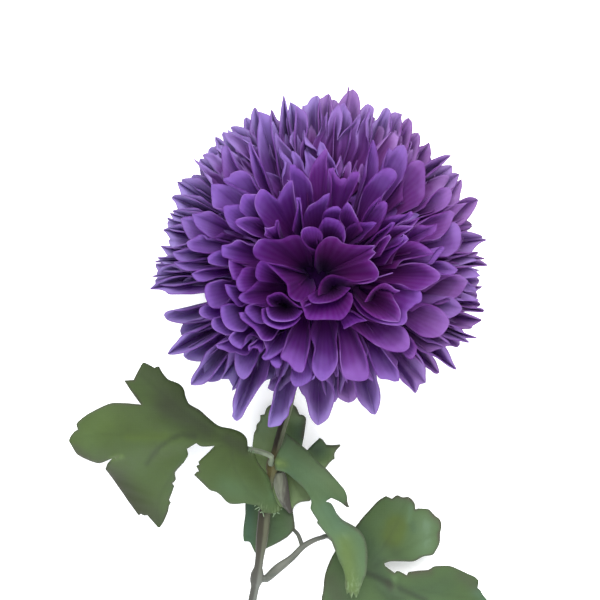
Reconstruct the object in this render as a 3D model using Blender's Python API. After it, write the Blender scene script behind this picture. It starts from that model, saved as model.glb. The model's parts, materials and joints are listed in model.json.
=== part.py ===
"""A round violet chrysanthemum on a cut, leafy stem, lying on a table with its face up.

Metres, +Z up. Every shape is worked out from one point of the table, the one under the middle of
the bloom: +Y points from the cut end of the stem to the bloom. An empty then moves the flower so
that the middle of its footprint is the origin.
"""

import math
import random

import bmesh
import bpy
from mathutils import Matrix, Vector, geometry

MM = 0.001
UP = Vector((0, 0, 1))

# Driving sizes of the bloom
BLOOM_RADIUS = 70 * MM
CORE_RADIUS = 0.6 * BLOOM_RADIUS
CORE_FRONT = 0.52 * BLOOM_RADIUS
CORE_BACK = 0.21 * BLOOM_RADIUS
BLOOM_HEIGHT = 0.52 * BLOOM_RADIUS
FACE_TILT = math.radians(8)
RING_COUNT = 13
FRONT_RING = math.radians(15)
BACK_RING = math.radians(127)
PETALS_AT_EQUATOR = 13
PETAL_THICKNESS = 0.7 * MM
SEED = 29

# Driving sizes of the stem and the leaves
STEM_RADIUS = 1.8 * MM
NODE_RADIUS = 2.8 * MM
STALK_RADIUS = 1.1 * MM
SEAT_GAP = 0.3 * MM
LEAF_THICKNESS = 0.8 * MM
EDGE_STEP = 2.6 * MM
GRID_STEP = 5.2 * MM
TOOTH_LENGTH = 5.2 * MM
TOOTH_HEIGHT = 0.9 * MM

BLOOM_CENTRE = Vector((0, 0, BLOOM_HEIGHT))
STEM_AZIMUTH = math.radians(-90 - 12)
STEM_GAP_ANGLE = math.radians(17)
PARTING_AZIMUTH = math.radians(196)
PARTING_ANGLE = math.radians(10)
FOOTPRINT_CENTRE = Vector((-18 * MM, -88.5 * MM, 0))


def clear_scene():
    for thing in list(bpy.data.objects):
        bpy.data.objects.remove(thing, do_unlink=True)


def paint(name, colour, roughness):
    material = bpy.data.materials.new(name)
    material.use_nodes = True
    shader = material.node_tree.nodes["Principled BSDF"]
    shader.inputs["Base Color"].default_value = (*colour, 1)
    shader.inputs["Roughness"].default_value = roughness
    shader.inputs["Metallic"].default_value = 0
    return material


def new_object(name, data):
    thing = bpy.data.objects.new(name, data)
    bpy.context.scene.collection.objects.link(thing)
    return thing


def settle(thing):
    """Turns an object's modifiers, or its curve, into a plain mesh under the same name."""
    graph = bpy.context.evaluated_depsgraph_get()
    mesh = bpy.data.meshes.new_from_object(thing.evaluated_get(graph))
    name = thing.name
    bpy.data.objects.remove(thing, do_unlink=True)
    return new_object(name, mesh)


def blade(name, points, faces, thickness):
    """A thin closed solid round a surface of triangles."""
    mesh = bpy.data.meshes.new(name)
    mesh.from_pydata(points, [], faces)
    thing = new_object(name, mesh)
    wall = thing.modifiers.new("thickness", "SOLIDIFY")
    wall.thickness = thickness
    wall.offset = 0
    return settle(thing)


def union(base, others):
    """Joins the other solids into the base and removes them."""
    group = bpy.data.collections.new("joined")
    bpy.context.scene.collection.children.link(group)
    for other in others:
        group.objects.link(other)
    join = base.modifiers.new("join", "BOOLEAN")
    join.operation = "UNION"
    join.operand_type = "COLLECTION"
    join.collection = group
    join.solver = "MANIFOLD"
    joined = settle(base)
    for other in others:
        bpy.data.objects.remove(other, do_unlink=True)
    bpy.data.collections.remove(group)
    return joined


def smooth_path(points, step, closed=False):
    """Points about a step apart on a Catmull-Rom curve through the given ones, of any dimension."""
    points = [Vector(p) for p in points]
    count = len(points)
    spans = count if closed else count - 1
    path = []
    for i in range(spans):
        if closed:
            a, b, c, d = (points[(i + k) % count] for k in (-1, 0, 1, 2))
        else:
            a, b, c, d = (points[min(max(i + k, 0), count - 1)] for k in (-1, 0, 1, 2))
        pieces = max(1, round((c - b).length / step))
        for k in range(pieces):
            t = k / pieces
            bend = (2 * a - 5 * b + 4 * c - d) * t**2 + (3 * b - a - 3 * c + d) * t**3
            path.append((2 * b + (c - a) * t + bend) / 2)
    return path if closed else path + [points[-1]]


def turned(name, outline, sides):
    """A solid of revolution about Z. outline holds (radius, height) from its top to its bottom."""
    body = bmesh.new()
    line = [body.verts.new((radius, 0, height)) for radius, height in outline]
    edges = [body.edges.new(pair) for pair in zip(line, line[1:])]
    bmesh.ops.spin(
        body, geom=line + edges, cent=(0, 0, 0), axis=(0, 0, 1), angle=2 * math.pi, steps=sides
    )
    bmesh.ops.remove_doubles(body, verts=body.verts, dist=0.01 * MM)
    bmesh.ops.holes_fill(body, edges=body.edges)
    bmesh.ops.recalc_face_normals(body, faces=body.faces)
    mesh = bpy.data.meshes.new(name)
    body.to_mesh(mesh)
    body.free()
    return new_object(name, mesh)


# Bloom: two-lobed petals in rings that stand out of a core, widest ring at the equator

# Lobes, width, notch, cup, cup of each lobe, bow, curl and wave, as shares of a petal's length
# or, for the two cups, of its width
PETAL_SHAPES = (
    (2, 0.51, 0.20, 0.10, 0.30, 0.06, 0.02, 0.03),
    (2, 0.47, 0.24, 0.20, 0.22, 0.05, 0.14, 0.04),
    (2, 0.54, 0.18, -0.05, 0.34, 0.08, -0.06, 0.03),
    (2, 0.50, 0.22, 0.16, 0.26, 0.04, 0.22, 0.05),
    (1, 0.35, 0.24, 0.36, 0, 0.06, 0.04, 0.03),
    (1, 0.30, 0.30, 0.30, 0, 0.05, 0.14, 0.04),
)


def petal_point(shape, u, v):
    """A petal of length 1: u runs from -1 to 1 across it, v from 0 at its root to 1 at its tips."""
    lobes, width, notch, cup, lobe_cup, bow, curl, wave = shape
    lobe = 2 * abs(u) - 1 if lobes == 2 else u
    grown = min(1, v / 0.62)
    grown *= grown * (3 - 2 * grown)
    half = width / 2 * (0.2 + 0.8 * grown) * (1 - 0.14 * max(0, (v - 0.7) / 0.3) ** 2)
    along = v * (1 - notch * abs(lobe) ** 1.4 * v * v)
    trough = width * (cup * (u * u - 0.35) + lobe_cup * (lobe * lobe - 0.35)) * v**1.3
    bend = bow * math.sin(math.pi * v) - curl * v**3
    ripple = wave * math.sin(5.2 * u + 2 * v + 9 * curl) * v * v
    return Vector((u * half, along, trough + bend + ripple))


def core_reach(polar):
    """Distance of the core's surface from the bloom's centre. Its back is flatter than its front."""
    axial = CORE_FRONT if polar < math.pi / 2 else CORE_BACK * 1.25
    return 1 / math.hypot(math.sin(polar) / CORE_RADIUS, math.cos(polar) / axial)


def bloom_core():
    """The turned body that the petals grow from, cut off flat where the calyx holds it."""
    steps, sides = 9, 14
    outline = []
    for i in range(steps + 1):
        polar = math.pi * i / steps
        reach = core_reach(polar)
        outline.append((reach * math.sin(polar), max(reach * math.cos(polar), -CORE_BACK)))
    core = turned("bloom", outline, sides)
    core.data.transform(Matrix.Translation(BLOOM_CENTRE))
    return core


def petal_places():
    """Each petal's shape and the matrix that stands it in its place, ring by ring."""
    draw = random.Random(SEED)
    places = []
    for ring in range(RING_COUNT):
        share = ring / (RING_COUNT - 1)
        ring_polar = FRONT_RING + (BACK_RING - FRONT_RING) * share
        tilt = Matrix.Rotation(FACE_TILT * (1 - share), 3, "X")
        count = 1 + round(PETALS_AT_EQUATOR * math.sin(ring_polar))
        for n in range(count):
            turn = 2 * math.pi * (n + 0.5 * (ring % 2) + draw.uniform(-0.15, 0.15)) / count
            polar = ring_polar + draw.uniform(-0.07, 0.07)
            turn = parted(polar, turn)
            reach = BLOOM_RADIUS * draw.uniform(0.91, 1.04)
            single = draw.random() < (0 if ring < 3 else 0.2 if share < 0.8 else 0.75)
            shape = draw.choice(PETAL_SHAPES[4:] if single else PETAL_SHAPES[:4])
            swing = draw.uniform(-0.17, 0.17)
            twist = draw.uniform(-0.4, 0.4)
            if not over_stem(polar, turn):
                root = core_point(tilt, turn, polar * (0.6 + 0.35 * share))
                tip = BLOOM_CENTRE + outward(tilt, turn, polar) * reach
                outer = outward(tilt, turn, polar - 0.5)
                places.append((shape, stand(root, tip, outer, swing, twist)))
    return places


def outward(tilt, turn, polar):
    """The direction from the bloom's centre at an angle from its face and a turn about it."""
    flat = Vector((math.cos(turn), math.sin(turn), 0)) * math.sin(polar)
    return tilt @ (flat + UP * math.cos(polar))


def core_point(tilt, turn, polar):
    """Where a petal is rooted, some way inside the core."""
    return BLOOM_CENTRE + outward(tilt, turn, polar) * core_reach(polar) * 0.84


def over_stem(polar, turn):
    """The back rings leave a way out for the stem."""
    off = (turn - STEM_AZIMUTH + math.pi) % (2 * math.pi) - math.pi
    return polar > math.radians(110) and abs(off) < STEM_GAP_ANGLE


def parted(polar, turn):
    """Moves a side petal off the line where the petals part and leave a slot."""
    off = (turn - PARTING_AZIMUTH + math.pi) % (2 * math.pi) - math.pi
    if polar > math.radians(60) and abs(off) < PARTING_ANGLE:
        return PARTING_AZIMUTH + math.copysign(PARTING_ANGLE, off)
    return turn


def stand(root, tip, outer, swing, twist):
    """Places a petal of length 1 between two points, with its hollow side to the bloom's middle."""
    along = (tip - root).normalized()
    facing = along.cross(outer).cross(along).normalized()
    along = Matrix.Rotation(swing, 3, facing) @ along
    across = along.cross(outer).normalized()
    across = Matrix.Rotation(twist, 3, along) @ across
    axes = Matrix((across, along, across.cross(along))).transposed().to_4x4()
    return Matrix.Translation(root) @ axes @ Matrix.Scale((tip - root).length, 4)


def above_table(point):
    """Bends what would reach below the table along its surface instead."""
    easing, rest = 1 * MM, 0.12 * MM
    if point.z < easing:
        point.z = rest + (easing - rest) * math.exp((point.z - easing) / (easing - rest))
    return point


def bloom_petal(shape, place):
    across = (-1, -0.5, 0, 0.5, 1) if shape[0] == 2 else (-1, 0, 1)
    rows = ((0.08, (-1, 1)), (0.6, across), (1, across))
    if place.translation.z < BLOOM_HEIGHT and (place @ Vector((0, 1, 0))).z < 0:
        rows = ((0.08, (-1, 1)), (0.5, across), (0.7, across), (0.85, across), (1, across))
    points = [above_table(place @ petal_point(shape, u, v)) for v, row in rows for u in row]
    faces = []
    start = 0
    for (_, low), (_, high) in zip(rows, rows[1:]):
        faces += strip(low, high, start)
        start += len(low)
    return blade("petal", points, faces, PETAL_THICKNESS)


def strip(low, high, start):
    """Triangles between two rows of points that run the same way but differ in number."""
    faces = []
    i, j = 0, 0
    above = start + len(low)
    while i < len(low) - 1 or j < len(high) - 1:
        along_low = j == len(high) - 1 or (i < len(low) - 1 and low[i + 1] <= high[j + 1])
        if along_low:
            faces.append((start + i, start + i + 1, above + j))
            i += 1
        else:
            faces.append((start + i, above + j + 1, above + j))
            j += 1
    return faces


def table_cutter():
    """A helper solid that fills everything below the table."""
    size = 4 * BLOOM_RADIUS
    body = bmesh.new()
    bmesh.ops.create_cube(body, size=size, matrix=Matrix.Translation((0, 0, -size / 2)))
    mesh = bpy.data.meshes.new("table")
    body.to_mesh(mesh)
    body.free()
    cutter = new_object("table_cutter", mesh)
    cutter.hide_render = True
    cutter.display_type = "WIRE"
    return cutter


def close_up(mesh):
    """Closes the hair-thin faces that crossing petals leave."""
    body = bmesh.new()
    body.from_mesh(mesh)
    bmesh.ops.triangulate(body, faces=body.faces)
    bmesh.ops.dissolve_degenerate(body, dist=0.003 * MM, edges=body.edges)
    bmesh.ops.triangulate(body, faces=body.faces)
    body.to_mesh(mesh)
    body.free()


def make_bloom():
    bloom = union(bloom_core(), [bloom_petal(*place) for place in petal_places()])
    cutter = table_cutter()
    press = bloom.modifiers.new("press_flat", "BOOLEAN")
    press.operation = "DIFFERENCE"
    press.object = cutter
    press.solver = "MANIFOLD"
    bloom = settle(bloom)
    bpy.data.objects.remove(cutter, do_unlink=True)
    close_up(bloom.data)
    bloom.data.materials.append(paint("petal_violet", (0.16, 0.035, 0.32), 0.75))
    return bloom


# Stem: the bent neck behind the bloom, the main stem down to its cut end, and the side shoot

NECK_TOP = BLOOM_HEIGHT - CORE_BACK - 6 * MM
STEM_ROUTE = (
    (-0.5, -2.4, 11.2),
    (-1.9, -8.5, 7.6),
    (-4.4, -20, 7),
    (-9, -42, 7.4),
    (-13, -62, 9),
    (-17, -76, 13.5),
    (-20, -88, 17),
    (-23, -104, 17.3),
    (-25, -122, 15.6),
    (-27, -137, 14),
    (-30, -153, 12),
    (-36, -190, 7),
    (-45, -245, 1.9),
)
LEAF_NODE = 6
SHOOT_NODE = 9
SHOOT_ROUTE = ((-18, -131, 13.5), (-12, -128, 13), (-7, -125, 12.5), (-2, -121, 12.3), (2, -120, 12.2))
FORK_ROUTE = ((-8, -125.5, 12.6), (-9, -121.5, 11.5), (-11.5, -117.5, 9.6))


def tube(name, route, radii, sides=10):
    """A round stalk along a smooth route. radii gives the radius at each of the route's points."""
    points = smooth_path([(*p, r) for p, r in zip(route, radii)], 5 * MM)
    body = bmesh.new()
    rings = []
    across = None
    for i, point in enumerate(points):
        before, after = points[max(i - 1, 0)], points[min(i + 1, len(points) - 1)]
        along = (after - before).to_3d().normalized()
        if across is None:
            across = along.orthogonal()
        across = (across - along * across.dot(along)).normalized()
        side = along.cross(across)
        ring = []
        for n in range(sides):
            turn = 2 * math.pi * n / sides
            spoke = across * math.cos(turn) + side * math.sin(turn)
            ring.append(body.verts.new(point.to_3d() + spoke * point[3]))
        rings.append(ring)
    for low, high in zip(rings, rings[1:]):
        for n in range(sides):
            m = (n + 1) % sides
            body.faces.new((low[n], low[m], high[m], high[n]))
    body.faces.new(rings[0][::-1])
    body.faces.new(rings[-1])
    mesh = bpy.data.meshes.new(name)
    body.to_mesh(mesh)
    body.free()
    return new_object(name, mesh)


def from_mm(route):
    return [Vector(p) * MM for p in route]


def swelling(index):
    """The thick ring at one of the stem's points, where leaves or a shoot leave it."""
    centre, along = stem_place(index)
    route = [centre + along * NODE_RADIUS * k for k in (-1.5, -0.7, 0.7, 1.5)]
    thin = STEM_RADIUS * 0.8
    return tube("node", route, [thin, NODE_RADIUS, NODE_RADIUS, thin])


def stem_place(index):
    """A point of the stem's route and the stem's direction there."""
    before, centre, after = from_mm(STEM_ROUTE[index - 1 : index + 2])
    return centre, (after - before).normalized()


def seat_on(index, towards):
    """Two points that lead square off a node of the stem, a seat gap away from it."""
    centre, along = stem_place(index)
    off = towards - centre
    off = (off - along * off.dot(along)).normalized()
    return [centre + off * (NODE_RADIUS + SEAT_GAP + lift) for lift in (0, 1 * MM)]


def carry_on(route):
    """Two points that lead on from the end of a stalk, a seat gap away from it."""
    before, end = route[-2:]
    along = (end - before).normalized()
    return [end + along * (SEAT_GAP + lift) for lift in (0, 1 * MM)]


def make_stem():
    route = [UP * (NECK_TOP - SEAT_GAP), UP * (NECK_TOP - 1.5 * MM)] + from_mm(STEM_ROUTE)
    radii = [STEM_RADIUS * (0.9 if i < 7 else 1.05) for i in range(len(route))]
    stem = union(tube("stem", route, radii), [swelling(LEAF_NODE), swelling(SHOOT_NODE)])
    stem.data.materials.append(paint("stem_green", (0.13, 0.14, 0.07), 0.6))
    return stem


def make_shoot():
    route = from_mm(SHOOT_ROUTE)
    route = seat_on(SHOOT_NODE, route[0]) + route
    shoot = tube("side_shoot", route, [r * MM for r in (1.5, 1.7, 2.0, 1.5, 1.3, 1.1, 1.0)])
    fork = tube("fork", from_mm(FORK_ROUTE), [1.0 * MM, 0.9 * MM, 0.8 * MM])
    shoot = union(shoot, [fork])
    shoot.data.materials.append(paint("shoot_green", (0.13, 0.15, 0.08), 0.6))
    return shoot


def make_calyx():
    """The green cup that clasps the back of the bloom, with its ring of pointed sepals."""
    cup_radius, neck_radius, sepals = 10 * MM, 2.2 * MM, 8
    top = BLOOM_HEIGHT - CORE_BACK - SEAT_GAP
    levels = ((top, 0.93), (top - 1.2 * MM, 1), (top - 3.5 * MM, 0.66), (NECK_TOP, 0))
    spread = cup_radius - neck_radius
    cup = turned("calyx", [(neck_radius + spread * share, level) for level, share in levels], 24)
    pointed = []
    for n in range(sepals):
        turn = Matrix.Rotation(2 * math.pi * (n + 0.5) / sepals, 3, "Z")
        rows = ((6, 2.6, -2.6), (10.5, 2.3, -1.6), (14, 0.4, -2.6))
        points = [
            turn @ Vector((along * MM, side * half * MM, top + drop * MM))
            for along, half, drop in rows
            for side in (-1, 1)
        ]
        faces = [(0, 2, 3), (0, 3, 1), (2, 4, 5), (2, 5, 3)]
        pointed.append(blade("sepal", points, faces, 0.8 * MM))
    calyx = union(cup, pointed)
    calyx.data.materials.append(paint("calyx_green", (0.07, 0.13, 0.05), 0.7))
    return calyx


# Leaves: cut sheets that arch over their ribs, each with the stalk that holds it.
# Outlines are (x, y) and ribs (x, y, height above the table), in millimetres.

LEAF_LEFT = {
    "outline": (
        (-31, -80), (-36, -74), (-45, -71), (-52, -66), (-58, -59), (-63, -53), (-70, -48),
        (-76, -45), (-80, -51), (-85, -52), (-81, -58), (-78, -63), (-90, -62), (-99, -66),
        (-105, -71), (-109, -78), (-106, -84), (-97, -88), (-89, -87), (-82, -86), (-91, -90),
        (-93, -93), (-85, -103), (-78, -112), (-70, -117), (-66, -108), (-63, -97), (-57, -86),
        (-53, -80), (-46, -81), (-52, -88), (-55, -94), (-46, -100), (-38, -106), (-30, -107),
        (-24, -110), (-18, -108), (-20, -97), (-26, -88),
    ),
    "ribs": (
        ((-38, -78, 27), (-58, -65, 25), (-77, -49, 19)),
        ((-38, -78, 27), (-69, -75, 28), (-91, -75, 19), (-108, -78, 8)),
        ((-38, -78, 27), (-58, -87, 24), (-69, -103, 12), (-70, -116, 4)),
        ((-38, -78, 27), (-35, -92, 29), (-26, -103, 26), (-21, -109, 23)),
    ),
    "arch": 0.02,
    "stalk": ((-24, -85.5, 19.5), (-29, -82, 22), (-34, -79, 25.5), (-42, -77, 27.2)),
    "from": "stem",
}
LEAF_RIGHT = {
    "outline": (
        (-16, -86), (-14, -76), (-9, -80), (1, -89), (9, -99), (13, -109), (8, -105), (3, -104),
        (8, -110), (16, -116), (21, -125), (21, -134), (19, -141), (16, -148), (11, -144),
        (11, -138), (9, -132), (3, -120), (-2, -111), (-5, -103), (-8, -96), (-12, -91),
    ),
    "ribs": (
        ((-14, -86, 22), (-4, -91, 26), (4, -97, 25), (13, -108, 17)),
        ((-14, -86, 22), (-4, -98, 27), (5, -113, 27), (15, -128, 24), (16, -147, 17)),
    ),
    "arch": 0.03,
    "stalk": ((-16.5, -87.5, 19.5), (-13, -88, 21.5), (-8, -91, 24.6)),
    "from": "stem",
}
LEAF_BACK = {
    "outline": (
        (-30, -82), (-29, -74), (-25, -66), (-21, -61), (-15, -60), (-10, -64), (-7, -68),
        (-8, -76), (-7, -81), (-3, -78), (0, -76), (3, -80), (7, -80), (5, -85), (2, -90),
        (-1, -97), (-5, -104), (-11, -103), (-16, -96), (-20, -92), (-25, -87),
    ),
    "ribs": (
        ((-19, -85, 10), (-18, -74, 7), (-17, -61, 4)),
        ((-19, -85, 10), (-8, -84, 8.5), (6, -81, 6)),
        ((-19, -85, 10), (-12, -94, 9.5), (-7, -103, 9)),
    ),
    "arch": 0.012,
    "stalk": ((-20, -87.5, 12.6), (-19.5, -86, 11.2), (-18.5, -82, 9.2)),
    "from": "stem",
}
SHOOT_LEAF_SMALL = {
    "outline": (
        (-11, -117), (-11, -110), (-10, -103), (-13, -97), (-20, -94), (-29, -98), (-32, -106),
        (-34, -115), (-33, -122), (-29, -124), (-25, -128), (-19, -124), (-14, -121),
    ),
    "ribs": (
        ((-14, -115, 6.4), (-20, -107, 4.6), (-26, -99, 3)),
        ((-14, -115, 6.4), (-22, -117, 5), (-31, -121, 2.4)),
    ),
    "arch": 0.01,
    "stalk": ((-14, -114.6, 7.6), (-18, -112.5, 6)),
    "from": FORK_ROUTE,
}
SHOOT_LEAF_LARGE = {
    "outline": (
        (10, -121), (16, -116), (24, -108), (31, -104), (38, -103), (41, -107), (42, -111),
        (44, -109), (50, -111), (53, -116), (52, -122), (49, -128), (42, -132), (34, -133),
        (28, -133), (34, -137), (39, -136), (48, -134), (56, -132), (64, -136), (70, -142),
        (73, -148), (68, -154), (60, -157), (50, -157), (54, -164), (48, -171), (39, -170),
        (31, -163), (24, -166), (18, -174), (11, -173), (5, -166), (2, -156), (1, -146),
        (3, -135), (7, -128),
    ),
    "ribs": (
        ((19, -135, 12), (30, -120, 14), (37, -105, 11)),
        ((19, -135, 12), (38, -124, 13.5), (51, -118, 10)),
        ((19, -135, 12), (45, -143, 11), (72, -148, 5)),
        ((19, -135, 12), (34, -152, 8.5), (46, -169, 3)),
        ((19, -135, 12), (12, -150, 8), (12, -171, 2.4)),
    ),
    "arch": 0.012,
    "stalk": ((6.4, -121.4, 11.9), (13, -128, 12), (22, -137, 12)),
    "from": SHOOT_ROUTE,
}


def toothed(points, hub):
    """The outline with rounded teeth on the outer ends of its lobes."""
    reaches = [(p - hub).length for p in points]
    longest = max(reaches)
    edge = []
    walked = 0
    for i, point in enumerate(points):
        before, after = points[i - 1], points[(i + 1) % len(points)]
        walked += (point - before).length
        tangent = (after - before).normalized()
        share = min(1, max(0, reaches[i] / longest - 0.45) / 0.25)
        tooth = TOOTH_HEIGHT * (abs(math.sin(math.pi * walked / TOOTH_LENGTH)) - 0.5) * share
        edge.append(point + Vector((tangent.y, -tangent.x)) * tooth)
    return edge


def area(points):
    return sum(a.x * b.y - b.x * a.y for a, b in zip(points, points[1:] + points[:1])) / 2


def sheet_height(point, ribs, arch):
    """Height of a leaf's sheet: near a rib it follows that rib, and it falls away to each side."""
    total = weights = 0
    for rib in ribs:
        best = None
        for a, b in zip(rib, rib[1:]):
            flat_a, flat_b = a.to_2d(), b.to_2d()
            run = flat_b - flat_a
            t = min(1, max(0, (point - flat_a).dot(run) / run.length_squared))
            off = (flat_a + run * t - point).length
            if best is None or off < best[0]:
                best = (off, a.z + (b.z - a.z) * t)
        off, level = best
        weight = 1 / (off + 2 * MM) ** 3
        total += weight * (level - arch / MM * off**2)
        weights += weight
    return max(total / weights, 1.2 * MM)


def leaf_sheet(leaf):
    """Points and triangles of a leaf's middle surface."""
    hub = Vector(leaf["ribs"][0][0]).to_2d() * MM
    ribs = [smooth_path(from_mm(rib), 4 * MM) for rib in leaf["ribs"]]
    outline = [Vector(p) * MM for p in leaf["outline"]]
    edge = toothed(smooth_path(outline, EDGE_STEP, closed=True), hub)
    if area(edge) < 0:
        edge.reverse()
    low = Vector((min(p.x for p in edge), min(p.y for p in edge)))
    high = Vector((max(p.x for p in edge), max(p.y for p in edge)))
    inner = []
    row_step = GRID_STEP * math.sqrt(0.75)
    for row in range(int((high.y - low.y) / row_step) + 1):
        for column in range(int((high.x - low.x) / GRID_STEP) + 1):
            shift = 0.5 * (row % 2)
            point = low + Vector(((column + shift) * GRID_STEP, row * row_step))
            if inside(point, edge) and nearest(point, edge) > 0.6 * GRID_STEP:
                inner.append(point)
    loop = [(i, (i + 1) % len(edge)) for i in range(len(edge))]
    made = geometry.delaunay_2d_cdt(edge + inner, loop, [], 1, 1e-7)
    points = [Vector((*p, sheet_height(p, ribs, leaf["arch"]))) for p in made[0]]
    return points, [tuple(face) for face in made[2]]


def inside(point, edge):
    crossings = False
    for a, b in zip(edge, edge[1:] + edge[:1]):
        if (a.y > point.y) != (b.y > point.y):
            if point.x < a.x + (point.y - a.y) * (b.x - a.x) / (b.y - a.y):
                crossings = not crossings
    return crossings


def nearest(point, edge):
    return min((point - p).length for p in edge)


def make_leaf(name, leaf):
    points, faces = leaf_sheet(leaf)
    sheet = blade(name, points, faces, LEAF_THICKNESS)
    route = from_mm(leaf["stalk"])
    if leaf["from"] == "stem":
        route = seat_on(LEAF_NODE, route[0]) + route
    else:
        route = carry_on(from_mm(leaf["from"])) + route
    radii = [STALK_RADIUS * (1 - 0.25 * i / len(route)) for i in range(len(route))]
    sheet = union(sheet, [tube("stalk", route, radii, 8)])
    sheet.data.materials.append(paint(name + "_green", (0.07, 0.16, 0.06), 0.65))
    return sheet


def main():
    clear_scene()
    nodes = [
        make_bloom(),
        make_calyx(),
        make_stem(),
        make_shoot(),
        make_leaf("leaf_left", LEAF_LEFT),
        make_leaf("leaf_right", LEAF_RIGHT),
        make_leaf("leaf_back", LEAF_BACK),
        make_leaf("shoot_leaf_small", SHOOT_LEAF_SMALL),
        make_leaf("shoot_leaf_large", SHOOT_LEAF_LARGE),
    ]
    flower = new_object("flower", None)
    flower.location = -FOOTPRINT_CENTRE
    for node in nodes:
        node.parent = flower


main()
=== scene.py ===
"""A ball-shaped violet chrysanthemum on a cut, leafy stem: a flower made of cloth, lying face up.

Lengths are in metres. Places are measured from the spot of the table under the middle of the bloom,
with +Y from the cut end of the stem to the bloom, until fasten() moves a finished piece into the frame.
"""

import json
import math
import random

import bpy
from mathutils import Matrix, Vector, geometry, kdtree, noise

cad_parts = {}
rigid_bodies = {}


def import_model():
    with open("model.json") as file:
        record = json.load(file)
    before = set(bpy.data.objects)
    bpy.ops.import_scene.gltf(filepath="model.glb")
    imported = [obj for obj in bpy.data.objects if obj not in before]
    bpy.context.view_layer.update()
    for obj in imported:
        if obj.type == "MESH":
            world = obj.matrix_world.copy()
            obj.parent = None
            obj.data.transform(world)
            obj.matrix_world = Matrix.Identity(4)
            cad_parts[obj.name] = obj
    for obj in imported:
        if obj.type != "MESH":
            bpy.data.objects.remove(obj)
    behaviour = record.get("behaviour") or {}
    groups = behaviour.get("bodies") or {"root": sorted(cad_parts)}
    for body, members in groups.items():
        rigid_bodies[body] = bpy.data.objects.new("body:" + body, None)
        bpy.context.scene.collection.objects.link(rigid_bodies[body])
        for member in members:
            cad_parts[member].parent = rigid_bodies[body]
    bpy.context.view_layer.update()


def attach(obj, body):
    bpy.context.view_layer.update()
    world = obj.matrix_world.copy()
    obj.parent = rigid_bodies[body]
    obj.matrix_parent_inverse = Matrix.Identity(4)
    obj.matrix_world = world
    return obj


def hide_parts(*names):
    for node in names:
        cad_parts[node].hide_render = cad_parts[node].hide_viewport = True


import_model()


# Stem. A steel wire in a moulded plastic skin with fine ribs, pushed up into the cup behind the bloom.
# Two rings thicken it where the leaf stalks and the side shoot are plugged in, and its lower end is
# cropped with cutters, so that the wire shows.

MM = 0.001
UP = Vector((0, 0, 1))
FOOTPRINT_CENTRE = Vector((-18, -88.5, 0)) * MM


class Value:
    """One socket of a node tree. Arithmetic on it adds the Math nodes that work it out."""

    def __init__(self, tree, socket):
        self.tree = tree
        self.socket = socket

    def math(self, operation, *others):
        return self.tree.math(operation, self, *others)

    def __add__(self, other):
        return self.tree.math("ADD", self, other)

    def __radd__(self, other):
        return self.tree.math("ADD", other, self)

    def __sub__(self, other):
        return self.tree.math("SUBTRACT", self, other)

    def __rsub__(self, other):
        return self.tree.math("SUBTRACT", other, self)

    def __mul__(self, other):
        return self.tree.math("MULTIPLY", self, other)

    def __truediv__(self, other):
        return self.tree.math("DIVIDE", self, other)

    def __rtruediv__(self, other):
        return self.tree.math("DIVIDE", other, self)

    def __pow__(self, other):
        return self.tree.math("POWER", self, other)

    def between(self, low, high):
        """0 below low, 1 above high and a soft slope between them."""
        settings = {"interpolation_type": "SMOOTHSTEP"}
        sockets = {"Value": self, "From Min": low, "From Max": high}
        return self.tree.node("ShaderNodeMapRange", settings, sockets)


class Tree:
    """A node tree that is being built."""

    def __init__(self, tree):
        self.tree = tree

    def node(self, kind, settings=None, sockets=None, out=0):
        made = self.tree.nodes.new(kind)
        for name, value in (settings or {}).items():
            if name == "stops":
                self.set_stops(made.color_ramp.elements, value)
            else:
                setattr(made, name, value)
        for key, value in (sockets or {}).items():
            self.join(value, made.inputs[key])
        return Value(self, made.outputs[out])

    def set_stops(self, stops, colours):
        while len(stops) < len(colours):
            stops.new(1)
        for stop, (place, colour) in zip(stops, colours):
            stop.position = place
            stop.color = (*colour, 1)

    def join(self, value, socket):
        if isinstance(value, Value):
            self.tree.links.new(value.socket, socket)
        elif socket.type == "RGBA":
            socket.default_value = (*value, 1)
        else:
            socket.default_value = value

    def math(self, operation, *terms):
        return self.node("ShaderNodeMath", {"operation": operation}, dict(enumerate(terms)))

    def parts(self, vector):
        made = self.node("ShaderNodeSeparateXYZ", sockets={0: vector})
        return [Value(self, socket) for socket in made.socket.node.outputs]


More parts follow.
